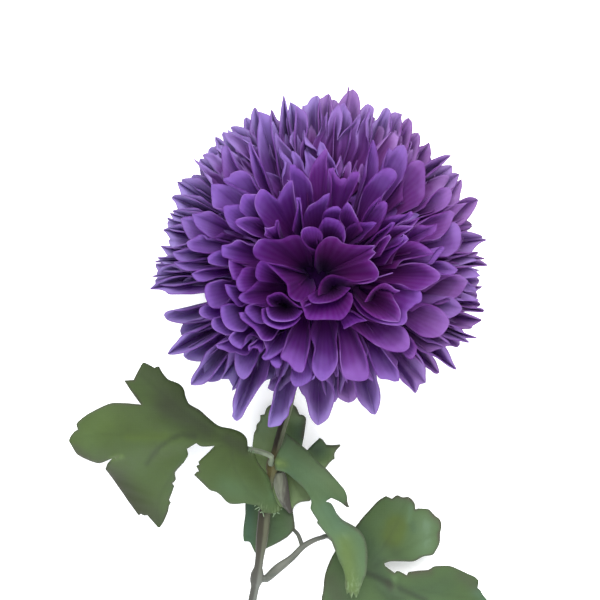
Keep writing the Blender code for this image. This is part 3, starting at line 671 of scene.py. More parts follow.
# Each petal that is bent into place, in millimetres: how far its tips are from the bloom's middle, how
# steeply its cut edge rises to them, its foot on the core and the corners of its cut edge
FACE_PETALS = (
    (64, 0.45, (-3.5, -6.3), ((-3.7, 0.6), (-7.2, 5.2), (-8.8, 7.5), (-12.3, 7.7), (-15.8, 6.3),
        (-19.4, 6.1), (-22.1, 6.3), (-24.4, 5.7), (-25.6, 4.3), (-26.6, 2.3), (-26.4, 0.4), (-25.2, -1.3),
        (-23.3, -2.3), (-18.2, -5), (-12.4, -8.9), (-8.4, -12.1))),
    (65, 0.3, (-0.3, -7.9), ((-2.5, -4.6), (-2.5, -1.1), (-2.1, 2), (-1, 3.9), (0.6, 5.6), (2.5, 6.8),
        (4.5, 7), (6.4, 6.4), (8, 4.8), (10.3, 4.1), (15.8, 3.6), (20.8, 3.4), (19.7, 1.9), (21.2, 0.7),
        (18.5, -2), (20.5, -3.6), (22.4, -7.1), (21.3, -9.8), (15.1, -11.3))),
    (64, 0.12, (6.2, -13.9), ((-1.4, -16), (-1, -12.9), (-0.2, -10.6), (1, -9.2), (2.5, -8.2), (4.5, -7.9),
        (6.5, -8.4), (8.8, -8.9), (11.2, -9.8), (13.9, -10.2), (17, -9.8), (19.8, -9.2), (22.9, -8.4),
        (25.7, -7.6), (28, -7))),
    (65, 0.3, (3.8, -11.1), ((-5.3, -16), (-4.1, -18.4), (-2.2, -19), (0.6, -18.9), (3.3, -18.4),
        (5.7, -17.6), (8.4, -16), (11.5, -12.9))),
    (66, 0.3, (-3.5, -7.9), ((-14.3, -4.3), (-18.1, -3.6), (-21.6, -3), (-19.3, -5.3), (-16.2, -8.4),
        (-13.5, -11.3), (-13.1, -13.7), (-12.7, -16), (-10.7, -17.6), (-7.6, -18.3), (-5.3, -17.6),
        (-3.7, -16), (-2.1, -12.9))),
    (65, 0.5, (-8.4, -11.9), ((-24.1, -10.2), (-25.8, -8.6), (-25.6, -5.5), (-24.8, -3.4), (-23.6, -2.3),
        (-22.1, -2.8), (-20.2, -4.7), (-16.3, -8.5), (-13.2, -12))),
    (65, 0.12, (-14.1, -20.1), ((-19.4, -20), (-20.9, -18.8), (-21.5, -17.4), (-21.1, -16.2), (-19.7, -15.6),
        (-18.2, -14.9), (-15.8, -14.7), (-14.3, -15.6), (-12.3, -17.4), (-11.1, -18.4), (-9.2, -19.8),
        (-7.2, -20.5), (-5.7, -19.7), (-4.1, -19))),
    (66, 0.3, (-13.7, -18.8), ((-21.7, -20.7), (-20.9, -23.9), (-19, -25.4), (-16.2, -25.9), (-13.1, -25.8),
        (-10.4, -25.2), (-8.8, -23.9), (-7.2, -21.9))),
    (67, 0.5, (-13.7, -18.8), ((-23.3, -21.1), (-23.3, -23.9), (-22.5, -26), (-20.2, -27.6), (-16.6, -28.9),
        (-13.1, -28.4), (-10, -26.8), (-8, -24.3))),
    (67, 0.35, (2.1, -10.7), ((-8.4, -18.4), (-6.8, -22.3), (-5.9, -24.8), (-3.7, -25.3), (1.3, -25.2),
        (7.2, -25.3), (9.1, -24), (11.1, -21.1), (12.3, -17.6), (11.9, -15.3))),
    (66, 0.3, (12.7, -11.9), ((13, -16.4), (15.3, -19.2), (16.4, -20.8), (20, -23.5), (23.1, -24.9),
        (27, -25.9), (30.6, -26.3), (31.2, -23.1), (30.2, -20), (28.6, -17.6), (27, -14.5))),
    (66, 0.12, (22, -17.6), ((17, -18.4), (19, -15.3), (20.5, -13.5), (22.9, -11.7), (24.8, -11.2),
        (27.2, -12.1), (28.8, -13.3), (30.8, -13.9))),
    (68, 0.5, (12.7, -9.5), ((12.2, -17.6), (14.5, -21.6), (19.2, -25.1), (25.1, -27.1), (29.4, -27.6),
        (32.6, -27.2), (34, -25.1), (33.8, -22.3), (35.4, -20.8), (37.3, -19.2), (39.3, -18.2), (39.6, -16),
        (38.8, -14.1), (35.7, -13.5), (31, -11.3))),
    (67, 0.6, (5, -16.8), ((6.6, -25.1), (11.3, -22.3), (14.4, -23.9), (17.8, -25.5), (13.9, -26.4),
        (11.6, -27.6), (8.9, -29))),
    (69, 0.6, (1.8, -17.6), ((-3.2, -26.4), (-4, -31.5), (-2.4, -36.6), (-3.6, -41.8), (-3.3, -45.3),
        (-1.3, -48.5), (0.3, -49.5), (2.3, -48.7), (4.7, -46.1), (6.3, -42.6), (6.3, -38.2), (5.9, -33.5),
        (6.7, -27.6))),
    (69, 0.6, (-4.7, -17.6), ((-10, -26.4), (-13.2, -31.5), (-14.7, -36.6), (-15.9, -40.1), (-13.1, -42.1),
        (-10.4, -45.4), (-7.6, -46), (-6.4, -43.7), (-5.2, -38.2), (-4.4, -31.5), (-5.2, -26.4))),
    (70, 0.6, (6.2, -16.8), ((6.4, -26.4), (7.5, -35.5), (7.9, -43.4), (9.4, -48.3), (12.2, -49.3),
        (15.8, -49.7), (18.2, -48.9), (19, -46.6), (17.8, -40.6), (15.4, -34.3), (12.3, -28))),
    (70.5, 0.6, (9.9, -16.8), ((13.6, -27.6), (17.9, -35.6), (20.7, -43.5), (23.6, -48.8), (26.8, -49.2),
        (29.7, -50.2), (31.3, -50.1), (31.2, -46.4), (28.3, -42.4), (23.5, -35.6), (18.8, -27.6))),
    (69, 0.6, (7.9, -14.3), ((11.5, -28), (16.2, -31.5), (20.6, -34.9), (24.1, -36.6), (28.1, -38),
        (32.5, -38.2), (34.6, -36.6), (35, -33.5), (34.4, -31.1), (32.8, -28.7), (30.4, -27.7),
        (23.4, -26.7), (15.5, -25.6))),
    (70, 0.7, (25, -26.8), ((31, -35.7), (33.2, -38.4), (33.9, -40.1), (35.8, -41.1), (37.4, -39.5),
        (38, -37.1), (37.1, -34.8), (35.7, -32.4))),
    (68, 0.45, (-12.5, -23.7), ((-23.4, -32.6), (-21.9, -36.2), (-21.9, -39), (-23.4, -40.3), (-22.6, -41.3),
        (-20.7, -41.1), (-18.3, -39.8), (-15.9, -38), (-14.3, -35.8), (-13.8, -33.1), (-12.8, -29.6))),
    (68, 0.4, (-13.3, -20.9), ((-32.3, -22.7), (-31.6, -24.9), (-28.9, -27), (-26.5, -28.8), (-25, -31),
        (-23.4, -33.2), (-21, -33.5), (-19.5, -33.2), (-17.9, -31.4), (-16.7, -29.3), (-14.4, -27.5))),
    (67, 0.5, (-13.3, -18.4), ((-22.6, -19.6), (-27.3, -19.2), (-29.6, -20.3), (-30, -21.9), (-28.1, -24.3),
        (-25.7, -26.3), (-23.4, -26.7), (-20.3, -25.9), (-17.9, -23.2))),
    (67, 0.6, (-10, -13.5), ((-20.3, -9.7), (-24.2, -9.7), (-27.3, -12.5), (-29.6, -14.3), (-31.5, -15.2),
        (-32.5, -16.6), (-31.6, -17.8), (-29.6, -18.8), (-27.3, -19.2), (-25, -19.8), (-21.8, -20.6),
        (-17.9, -19.6))),
    (67, 0.6, (-14.1, -8.7), ((-27.3, -5), (-30.7, -5.4), (-31.9, -7.8), (-33.1, -9.6), (-33.1, -11.7),
        (-31.9, -13.9), (-29.6, -14.1), (-26.5, -11.7), (-24.2, -9.3))),
    (68, 0.6, (-19.8, -3.8), ((-31.3, -3.4), (-34.7, -2.5), (-36.2, -1.9), (-36.2, -4.3), (-35.4, -7),
        (-34.5, -9.4), (-33.3, -9.8), (-31.6, -7.8), (-29.7, -5))),
    (68, 0.6, (-18.6, -14.3), ((-31.3, -12.1), (-35.5, -11.9), (-37.8, -11.5), (-37.3, -13.7),
        (-36.7, -15.4), (-34.8, -17.8), (-32.9, -20), (-31.3, -20.2), (-29.8, -18.8), (-27.5, -16))),
    (68.5, 0.5, (-20.7, -18.4), ((-34.5, -19.2), (-39.6, -20), (-39.6, -23.1), (-38.4, -26.5),
        (-36.5, -28.7), (-33.3, -29.9), (-30.2, -29.7), (-29.1, -25.9))),
    (69, 0.4, (-19.9, -23.8), ((-32.2, -29.1), (-34.9, -30.7), (-36.5, -32.8), (-35.7, -34.4), (-33.8, -36),
        (-31.6, -36.8), (-30.4, -35), (-29.8, -32.7), (-28.3, -31.3), (-26.7, -31.5), (-23.9, -33.1))),
    (69, 0.5, (-18.3, -25.9), ((-24.7, -33.1), (-26.6, -34.6), (-28.9, -35.8), (-28.5, -37.5),
        (-27.4, -36.4), (-25, -36.6), (-24.2, -38.2), (-23.2, -37.8), (-22.7, -34.3))),
    (70, 0.6, (-23.4, -26), ((-32.5, -32.4), (-37.9, -34), (-41.9, -35.3), (-41.1, -36.5), (-38.3, -37.6),
        (-36.4, -38.6), (-34, -38.4), (-32.4, -39.2), (-30, -39.6), (-28.6, -38.4), (-27.3, -36.1))),
    (69.5, 0.6, (-25.8, -20.1), ((-38.7, -24.4), (-42.9, -25.1), (-43.5, -27.5), (-42.1, -29.5),
        (-39.8, -30.7), (-37.4, -31.5), (-35.9, -31.3), (-33.9, -29.6), (-33.2, -26.8))),
    (70, 0.7, (-28.3, -17.6), ((-41.6, -18.4), (-45.4, -19.4), (-47.8, -20.8), (-48.3, -22.8), (-47, -24.4),
        (-44.3, -25.4), (-41.2, -25.2), (-38.9, -23.2), (-37.8, -20.4))),
    (69.5, 0.7, (-25.6, -11.9), ((-37.9, -10), (-42.8, -10.5), (-45.2, -11.5), (-45.9, -13.6), (-45.7, -16),
        (-44.8, -18.4), (-43.2, -20.4), (-40.5, -20.8), (-37.9, -18.8), (-35.6, -15.6))),
    (69, 0.7, (-23.9, -2.1), ((-34.7, 1.5), (-40.4, 1.8), (-43.1, 0.5), (-44.6, -1.1), (-44.3, -2.8),
        (-42, -3.6), (-38.5, -4.1), (-34.7, -3.7))),
    (67.5, 0.6, (-14.1, -2.2), ((-24.2, 3.8), (-28.9, 4.5), (-30.9, 5.6), (-32, 6), (-33.6, 5.8),
        (-35.1, 4.6), (-37.5, 4), (-39, 3.8), (-39.2, 1.3), (-38.7, -0.5), (-36.3, -1.1), (-33.6, -2.2),
        (-30.5, -4.2), (-25.8, -4.9))),
    (68, 0.6, (-11.6, 4.3), ((-19.1, 11.7), (-23.4, 14.3), (-27.3, 14.8), (-30.7, 14.5), (-33.1, 13.7),
        (-34, 12.7), (-32.7, 11.4), (-30.4, 9.9), (-27.3, 8), (-24.6, 7.3), (-20.3, 6.6))),
    (67, 0.4, (-13.7, 1.9), ((-15.9, 6), (-16.6, 8.2), (-17, 10.5), (-16.8, 13.3), (-17.7, 13.1),
        (-18.1, 10.9), (-19.7, 10.3), (-20.9, 10.1), (-22, 10.4), (-21.7, 8.9), (-22.2, 7.6), (-19.8, 6.7))),
    (68, 0.6, (-8.4, 4.3), ((-21, 10.4), (-23.3, 13.9), (-25.3, 17.7), (-26, 20.8), (-25.2, 23.5),
        (-23.7, 25.6), (-21.7, 25.1), (-19.4, 23.2), (-17.4, 21.6), (-16.2, 24.1), (-14.3, 27.2),
        (-12.7, 28.7), (-11.3, 28.9), (-10.9, 25.5), (-10.4, 22.4), (-9.6, 17.9), (-9.2, 13.3))),
    (68, 0.3, (-7.2, 4.3), ((-10.8, 8.7), (-11.3, 9.8), (-10.5, 13.6), (-9.6, 17.4), (-9.2, 20.1), (-10, 22),
        (-8.4, 22), (-8, 19), (-7.6, 15.2), (-7.2, 11.4), (-7.6, 9.1))),
    (67, 0.35, (-1.5, -2.2), ((-2.1, 2), (-4.9, 2.9), (-6.8, 4.6), (-8, 6.9), (-7.6, 9.5), (-6.1, 10.5),
        (-3.8, 10.7), (-1.4, 9.9), (0.5, 7.3))),
    (66, 0.35, (1.3, -2.2), ((-1.3, 3.2), (-1.8, 5.9), (-1.4, 8.9), (-0.2, 11.9), (1.3, 14.2), (4, 14),
        (6.4, 13.1), (7.5, 11.5), (8.5, 10), (9.1, 7.3), (8, 3.9))),
    (67.5, 0.5, (2.9, 2.6), ((0.2, 12.1), (0.6, 15.5), (1.7, 17.2), (4, 18.3), (6.3, 18.5), (7.5, 17.4),
        (6.8, 14), (9.2, 10.6))),
    (68, 0.6, (6.2, 1.8), ((6.5, 13), (7.6, 16.7), (8.7, 18.8), (10, 20.1), (11.4, 18.9), (12.6, 16.7),
        (14.3, 13.6), (16.3, 9.4))),
    (67.5, 0.6, (4.6, 0.2), ((9.7, 10.3), (13.1, 12.5), (17, 12.6), (20, 12.8), (21.3, 12.3), (19.7, 10.5),
        (17.4, 8.2), (15.2, 5.6))),
    (69, 0.6, (8.6, 0.2), ((16.7, 14.2), (18.6, 18.4), (20.5, 20.7), (23.4, 22.7), (22.8, 21.4),
        (21.7, 19.5), (24.4, 21), (25.6, 19.9), (25.2, 16.4), (23.7, 13), (21.9, 9.1))),
    (68.5, 0.6, (2.9, 3.4), ((-0.5, 12.5), (1.8, 18.7), (3.4, 23.6), (4.1, 28.2), (3.7, 31.3), (2.7, 33.6),
        (4.5, 34.2), (5.5, 31.9), (7.3, 29.6), (9, 30), (10, 29.4), (12.3, 32.2), (14.7, 32.2), (14.9, 30.9),
        (13.1, 26.7), (10.5, 21.7), (8.6, 16.3))),
    (67.5, 0.6, (-1.9, 1.8), ((-7.6, 10.8), (-6.8, 15.7), (-4.9, 19.1), (-2.9, 20.3), (-1, 21.4),
        (0.9, 23.1), (3.1, 24), (2.9, 21.4), (2.2, 18.4), (1.4, 13.1))),
    (69, 0.7, (-4.4, 4.3), ((-8.4, 16.5), (-10.4, 21.8), (-11.9, 27.6), (-12.3, 32.9), (-12.5, 34.8),
        (-10.7, 35.2), (-9.6, 34), (-7.2, 32.5), (-5.7, 30.6), (-4.1, 28.3), (-3.3, 23.7), (-3.3, 18))),
    (70, 0.7, (-1.1, 5.9), ((-4.8, 16.2), (-5.6, 22), (-5.2, 29.7), (-3.3, 35.5), (-0.9, 39.3), (1.4, 41.8),
        (2.2, 41.2), (1.8, 37.4), (2.6, 30.4), (3.5, 22.7))),
    (70, 0.7, (9.8, 4.3), ((14.6, 17.3), (16.8, 25.8), (20.7, 31.2), (24.6, 33.9), (27.3, 34.1),
        (29.1, 32.9), (29.7, 30.6), (27.4, 28.1), (24.3, 23.8), (21.7, 17.3))),
    (69, 0.5, (10.2, -2.2), ((19.9, 5.6), (21.4, 8.2), (23.6, 9.9), (26.3, 11.5), (27.3, 12.8), (28.6, 12.6),
        (27.5, 10.5), (24.8, 7.4), (22.6, 3.2))),
    (68.5, 0.5, (11.1, -3.8), ((19.5, 0.9), (21.3, 3.5), (22.8, 5.6), (24.7, 7.1), (26.2, 7.9), (26.8, 6.9),
        (25.2, 3.9), (22.9, -0.4))),
    (69, 0.6, (11.9, -4.6), ((22.4, 1.3), (26.2, 3), (30.7, 4.5), (32.2, 6.6), (31.8, 8), (33, 7.4), (34, 6),
        (32.3, 4.5), (29.2, 2), (27, -0.3), (24.7, -3.8))),
    (70, 0.6, (12.7, 0.2), ((22.4, 10.8), (25.4, 14.6), (29.2, 15.7), (33.1, 15.9), (35, 17.2), (36, 16.1),
        (33.9, 14.1), (30.1, 12.2), (26.3, 8.4))),
    (70.5, 0.6, (13.5, -1.4), ((24, 6.9), (27.8, 10), (31.6, 12.2), (35.5, 13.8), (38.4, 14.7), (37.1, 13),
        (34.8, 10.7), (31, 8), (27.5, 4.5))),
    (69.5, 0.6, (12.7, -2.6), ((22.4, 5.7), (25.4, 9.1), (29.2, 11), (33.1, 11.2), (36, 11.1), (33.9, 9.4),
        (30.8, 7.5), (27.1, 2.9))),
    (70.5, 0.6, (16.8, -2.2), ((32, 3.8), (34.6, 8.9), (38.1, 11.8), (42, 11.6), (45.4, 12.3), (45.2, 10),
        (43.7, 8.4), (41.3, 7.5), (38.2, 4.9), (34.8, 0.6))),
    (70, 0.6, (13.5, -5), ((28, -3.3), (30.3, 2.5), (34.1, 5.4), (38, 5), (40.7, 3.6), (42.7, 2.2),
        (44.1, 0.7), (41.2, -0.1), (36.5, -0.9), (31.9, -2.2), (29.6, -5.3))),
    (70, 0.6, (13.5, -7.4), ((30, -4.5), (35, -3), (40.5, -3.4), (43.7, -5), (45.6, -6.2), (47, -8.1),
        (46.1, -9.7), (42.9, -11.7), (39.8, -13.5), (35.1, -13.6), (30.4, -11.7))),
    (69.5, 0.7, (-12.5, 6.8), ((-22.7, 23.7), (-26.2, 27.9), (-28.2, 31.8), (-30.9, 33.4), (-34.1, 33),
        (-35.7, 32.2), (-36.3, 31.1), (-38.7, 30.5), (-38.5, 29.5), (-36.1, 28.3), (-33, 26.6), (-29, 25.2),
        (-25.1, 22.1))),
    (69, 0.6, (-14.1, 4.3), ((-22.6, 15.6), (-25.3, 20.9), (-25.6, 23.6), (-27.6, 23.7), (-30.3, 23.7),
        (-31.5, 22), (-31.9, 19.7), (-32.1, 17.7), (-29.6, 15.4), (-25.8, 12.4))),
    (69.5, 0.7, (-15.7, 3.5), ((-28.2, 14.4), (-31.6, 19.8), (-35.1, 19.7), (-38.1, 19.1), (-38.3, 17),
        (-37.5, 13.9), (-36, 11.2), (-33.3, 9.3), (-29, 7.8))),
    (70, 0.7, (-16.5, 6), ((-30.6, 23.7), (-36.2, 27.6), (-40.9, 28.4), (-43.7, 28.2), (-43.7, 25.3),
        (-43.3, 22.1), (-42.6, 19.3), (-38.2, 18.6), (-32.3, 19))),
    (70, 0.6, (-12.5, 8.4), ((-24.3, 26.9), (-27.5, 34.8), (-28.3, 41.2), (-28.8, 44.8), (-28.1, 45.2),
        (-26.7, 41.9), (-24.7, 37.9), (-23.1, 34.7), (-20.7, 27.3))),
    (71, 0.7, (-11.7, 11.7), ((-21.6, 27.7), (-24.4, 38.5), (-25.5, 44.6), (-25.4, 50.8), (-24.7, 55),
        (-25.2, 58.8), (-22.9, 57.9), (-20.5, 56.6), (-20.1, 54), (-19.6, 48.6), (-18.4, 42.5),
        (-17.2, 34.4), (-14.4, 25.7))),
    (71, 0.7, (9.8, 6.7), ((17.7, 31.5), (18.1, 37.7), (19.2, 42.4), (20.4, 45.6), (21.6, 42.8),
        (22.4, 38.5), (22.5, 32.3))),
    (71, 0.7, (12.7, 5.9), ((24.2, 32.4), (25.3, 38.7), (26.9, 42.7), (28.5, 41.6), (30.5, 43.6), (33, 44),
        (34.2, 41.3), (34.1, 35.7), (32.2, 30.1))),
)
OUTLINE_PETALS = (
    (67.1, 0.7, (-23.9, 6.9), ((-49.1, 24.7), (-56.9, 25.5), (-59.6, 25.8), (-61.4, 25.3), (-61.2, 24.4),
        (-59.7, 22.8), (-59, 21.1), (-58.1, 19.3), (-49.1, 18.2))),
    (68, 0.7, (-24, 8.6), ((-49.2, 32.2), (-53.1, 32.4), (-56.2, 32.3), (-57.3, 32.2), (-57.3, 31.1),
        (-58.4, 31.3), (-59.4, 31.6), (-58.8, 29.9), (-57.8, 27.7), (-56.9, 25.5), (-51.2, 23.2))),
    (64, 0.7, (-23.1, 9.4), ((-43.1, 32.1), (-49.1, 33.6), (-50.9, 34.2), (-52.5, 34.4), (-53.4, 33.8),
        (-53.7, 32.8), (-53, 30.3), (-49.4, 27.5))),
    (65.4, 0.7, (-22.3, 12.7), ((-40.2, 39.5), (-45.4, 40.3), (-48, 40.6), (-50, 40.9), (-50.2, 38.6),
        (-49.6, 35.9), (-48.8, 33.3), (-45.2, 32.3), (-38.9, 31.2))),
    (65.4, 0.7, (-22.3, 13.5), ((-42, 42.2), (-44.6, 41.6), (-46.8, 41.7), (-48.8, 42.4), (-48.1, 41.3),
        (-46.3, 40.4), (-41.9, 39.7))),
    (65.2, 0.7, (-21.5, 14.3), ((-40.4, 45.6), (-43, 45.5), (-45.3, 45.6), (-46.1, 45), (-46.3, 43.1),
        (-44.6, 41.9), (-41.2, 41))),
    (67.3, 0.7, (-20.7, 16), ((-42.4, 43.1), (-42.7, 45.7), (-43.3, 48.5), (-43.5, 50.2), (-41.8, 49.2),
        (-40, 47.5), (-38.7, 45.4), (-36.9, 41.5))),
    (69, 0.7, (-18.6, 14.3), ((-38.9, 31.4), (-39.7, 36.7), (-39.8, 41.9), (-39.2, 44.1), (-38.1, 44.6),
        (-37.1, 43.7), (-36.1, 41), (-34.9, 37.8), (-32.5, 33.8))),
    (66.5, 0.7, (-18.2, 16.8), ((-38.7, 44.7), (-39.9, 48.3), (-40.9, 51.3), (-40.7, 51.6), (-39, 51.5),
        (-36.8, 51.4), (-34.7, 50.9), (-32.5, 49.4), (-30.4, 45.5), (-28.7, 41.2))),
    (66.5, 0.7, (-17, 18.4), ((-28.8, 48.5), (-32.1, 49.5), (-34.7, 51.2), (-37.3, 54), (-36.6, 54.4),
        (-34.4, 54.2), (-32.2, 53.5), (-29.7, 52), (-26.3, 48.3))),
    (66.7, 0.7, (-16.2, 19.2), ((-30.5, 51.3), (-31.7, 55), (-31.6, 57.4), (-30.9, 58.3), (-29.4, 57.2),
        (-28.5, 54.7), (-27.2, 50.2))),
    (68.9, 0.7, (-14.5, 20.9), ((-28.8, 51), (-28.6, 56.3), (-28.2, 59.8), (-27.3, 62.4), (-26.1, 60.5),
        (-25, 57.8), (-23.9, 53.4), (-23, 49.5))),
    (65.6, 0.7, (-11.7, 21.2), ((-21.5, 51.9), (-20.7, 57.7), (-20.3, 61.5), (-19.3, 59.5), (-18, 56.6),
        (-16.6, 55.2), (-15.7, 50.8), (-14.9, 46.5))),
    (69.7, 0.7, (-10, 22), ((-16.9, 49.4), (-16.5, 55.3), (-16, 61.1), (-15.3, 67.2), (-14.4, 63.8),
        (-13.7, 60.5), (-12.9, 55.6), (-11.6, 49.2))),
    (66.4, 0.7, (-8.4, 22), ((-13.7, 53.8), (-13.3, 59.6), (-12.7, 62.4), (-12.5, 64.4), (-10, 62.5),
        (-8, 60.7), (-6.4, 59.3), (-6, 54.9), (-7.2, 49.3))),
    (69, 0.7, (-7.6, 20.7), ((-10.8, 46.7), (-10.3, 54.9), (-10, 60.4), (-8, 59.3), (-6.4, 57.8), (-5.6, 54),
        (-6, 49.9), (-8.4, 44.3))),
    (68, 0.7, (-3.5, 22), ((-7.2, 53.6), (-7.2, 59.3), (-7.3, 62.2), (-5.3, 62.6), (-4.3, 64.6),
        (-2.6, 66.6), (-1.1, 67.3), (-0.1, 65.8), (0.2, 61.9), (0.5, 55.6))),
    (68.8, 0.7, (-0.2, 22), ((-0.7, 55.6), (0, 65.1), (1.5, 66.1), (2.8, 67.5), (3.7, 68), (4.4, 65.9),
        (4.7, 63.2), (5.5, 57.8), (5, 52.2))),
    (66.7, 0.7, (1.4, 21.5), ((3.8, 56.6), (4.4, 64.6), (5.7, 65.6), (6.9, 64.6), (7.4, 62.2), (6.7, 56.7))),
    (73, 0.7, (4.7, 21.6), ((7, 53.2), (6.4, 60.4), (7.9, 63.3), (9.6, 65.9), (11.3, 67.8), (11.6, 71.2),
        (11.9, 68.4), (13.3, 69.4), (14.7, 68.2), (15.8, 65.6), (16.1, 62.4), (15.9, 58.9), (15.1, 53.3))),
    (69, 0.7, (3.8, 19), ((5.3, 48.8), (5.7, 55), (6.6, 58.4), (8.2, 61.9), (9.5, 62.5), (10.6, 60.2),
        (11.8, 58.5), (12.6, 54.3), (11.7, 46.8))),
    (67.7, 0.7, (8.7, 21.2), ((15.2, 51.5), (16.3, 59.9), (18, 62.4), (19.8, 63.9), (21.2, 63.3),
        (22.1, 61.7), (21.7, 58.8), (21, 54.7), (20.1, 49.5))),
    (68.8, 0.7, (12.8, 20), ((20.8, 49.4), (21.1, 54.4), (23.3, 56.2), (24.6, 58.5), (25.8, 60.8),
        (27.5, 62.3), (28.6, 61.3), (29.1, 59.2), (29.3, 55.4), (28.3, 49.7))),
    (69.4, 0.7, (14.5, 19.2), ((28.3, 51.7), (29.2, 58.7), (31.2, 59.9), (33, 59.6), (34.2, 59.5),
        (33.4, 57.4), (33.5, 54.9), (32.4, 49.7))),
    (69.2, 0.7, (16.1, 18.4), ((32.4, 48.4), (33.6, 54.8), (34.9, 56.6), (36.5, 57.8), (37.6, 56.7),
        (37.7, 53.7), (37.3, 50.5), (35.6, 44.3))),
    (66.6, 0.7, (17.8, 16.7), ((36.1, 43.6), (37.5, 50.6), (39.1, 51.4), (40.7, 51.7), (41.2, 50.3),
        (41, 47), (39, 40.4))),
    (66.5, 0.7, (18.6, 15.1), ((38, 37.4), (40.8, 44.7), (42.2, 45.5), (44, 46.6), (45.1, 47.8),
        (45.4, 45.2), (45.5, 42.9), (44.6, 39.4), (42.1, 34.6))),
    (69.7, 0.7, (19.4, 13.4), ((40.3, 36), (44.6, 39), (48.1, 40.7), (51.3, 42.1), (54.4, 42.4),
        (52.6, 40.9), (50.2, 38.3), (47.9, 36.3), (43.6, 32.8))),
    (68, 0.7, (20.2, 11), ((42.3, 31.9), (47.1, 36.3), (50.5, 37.5), (52.5, 37.9), (54.6, 38.1),
        (54.3, 36.4), (54.3, 34.8), (56, 34.9), (57.6, 34.6), (56.5, 32.3), (55.3, 29.6), (52, 24.8))),
    (67.7, 0.7, (20.6, 8.9), ((48.5, 23.1), (55.4, 29.6), (56.7, 31), (58.5, 32.6), (58.4, 29.5),
        (57.5, 26.4), (56.9, 23), (53.5, 18.3))),
    (70.5, 0.7, (21, 5.6), ((48.3, 17.2), (56.6, 22.6), (58.9, 23.8), (61.7, 24.6), (64.3, 24.3),
        (65.3, 23.9), (64.1, 21.1), (62.3, 18.3), (60.7, 16.1), (59.5, 14.8), (54.5, 12.4))),
    (65.3, 0.7, (21.4, 2.8), ((52.7, 14.2), (60.2, 15), (61.9, 14.5), (63, 13.8), (62.3, 12.5), (60.8, 11.4),
        (59.4, 10.5), (52.7, 8.5))),
    (70.3, 0.7, (21.8, 0.3), ((51.5, 6.7), (58.8, 10.2), (61.4, 10.1), (64.2, 9.5), (66.7, 8.8), (66.5, 7.8),
        (69.1, 7.4), (66.5, 6.4), (64.1, 4.7), (62.3, 2.8), (61, 1.4), (53.2, -0.6))),
    (70.3, 0.7, (21.8, -2.1), ((52.3, 1.8), (60.9, 1.6), (63.2, 2.1), (64.7, 2.1), (63.6, 0.6), (65.5, 0),
        (67.8, -0.4), (65, -1.1), (66.7, -1.8), (69.4, -3.2), (65.5, -3.6), (62.3, -4), (53.2, -4.6))),
    (67.5, 0.7, (22.2, -4.5), ((53.4, -2.2), (62.2, -4.5), (64.6, -5.1), (66.5, -5.3), (63.6, -5.7),
        (62.2, -6.1), (63.4, -6.9), (63, -8.1), (53.5, -9.5))),
    (67.4, 0.7, (22.7, -7.4), ((54.7, -6.2), (63, -8.1), (64.9, -8.5), (65.9, -9.4), (65.6, -10.6),
        (64.3, -11.8), (54.8, -12.7))),
    (69.3, 0.7, (22.7, -10.2), ((54.6, -11.1), (63.9, -12), (67.5, -12.1), (65, -13.3), (64.2, -14.1),
        (65.1, -15.7), (64.8, -16.4), (63.4, -17.2), (54.8, -17.6))),
    (70, 0.7, (22.7, -12.7), ((54.7, -16), (63.1, -17.3), (65, -18.3), (66.5, -19.3), (65.9, -20.1),
        (63.8, -20.4), (62.4, -21.1), (54.9, -21.7))),
    (72.3, 0.7, (22.8, -14.3), ((53.3, -19.2), (62, -21), (65.2, -21), (67.2, -21.4), (67.9, -22.1),
        (67.1, -22.6), (63.5, -22.5), (57.7, -22.4), (52.6, -23.3))),
    (72.8, 0.7, (21.9, -16), ((50.5, -23.3), (57.6, -22.6), (61.1, -23.6), (64.4, -24.8), (67.1, -26),
        (64.6, -27.1), (62.7, -28.1), (62.2, -29.1), (59.7, -29.2), (57.5, -29.3), (51.9, -28.2))),
    (73.9, 0.7, (20.3, -16.8), ((48.3, -26.5), (57.3, -29.2), (58.7, -30.9), (60.5, -31.7), (62.9, -32.6),
        (65, -33.4), (61.5, -33.2), (59.4, -33), (60.2, -34), (61.7, -35.3), (58.9, -34.6), (56.7, -34.1),
        (52.8, -33.5), (46.8, -31))),
    (69, 0.7, (18.6, -17.6), ((46.1, -29.8), (52.2, -32.7), (57.2, -34.5), (57.8, -36.1), (56.7, -37.1),
        (53.3, -36.3), (51.3, -36.6), (45.5, -36))),
    (73.9, 0.7, (16.9, -17.6), ((43.4, -34.6), (50.4, -36.7), (51.9, -38.4), (53.2, -40.7), (54.4, -43.3),
        (56.4, -46.5), (53.7, -45.2), (50.5, -43), (47.4, -41), (44.5, -39.7), (40.2, -37.9))),
    (69.6, 0.7, (15.3, -17.6), ((42, -37.1), (44.8, -40), (46.7, -42.2), (48.1, -45), (49.4, -47.8),
        (48.5, -48.2), (47.1, -47.7), (45.2, -46.3), (42.9, -44.9), (38.8, -41.2))),
    (69.6, 0.7, (12.8, -18.4), ((37.8, -38.7), (41.3, -42), (42.8, -45.4), (42.9, -48.8), (43.2, -51.6),
        (40.6, -52.3), (40.3, -54.4), (39.5, -56.3), (36.8, -53.5), (34.5, -51.7), (32.6, -49.8),
        (31.3, -42.7))),
    (69.8, 0.8, (10, -19.6), ((12.7, -46.8), (14.8, -56.7), (16.8, -60.2), (19.2, -62.6), (21.4, -64.7),
        (22.9, -65.1), (24, -61.7), (24.4, -57.8), (23.9, -53.5), (22.9, -50.2), (22.5, -45.2))),
    (62.2, 0.8, (5.9, -19.6), ((7.1, -49.4), (7.4, -57.5), (9.4, -59.2), (11.9, -60.3), (13.6, -59.5),
        (14.7, -57.9), (15.3, -50.3))),
    (61, 0.8, (3, -19.6), ((0.2, -49.4), (0.8, -52.8), (1.9, -55.8), (3.6, -58.7), (4.9, -60), (6, -59.9),
        (6.7, -58.3), (8.1, -56.3), (10, -50.3))),
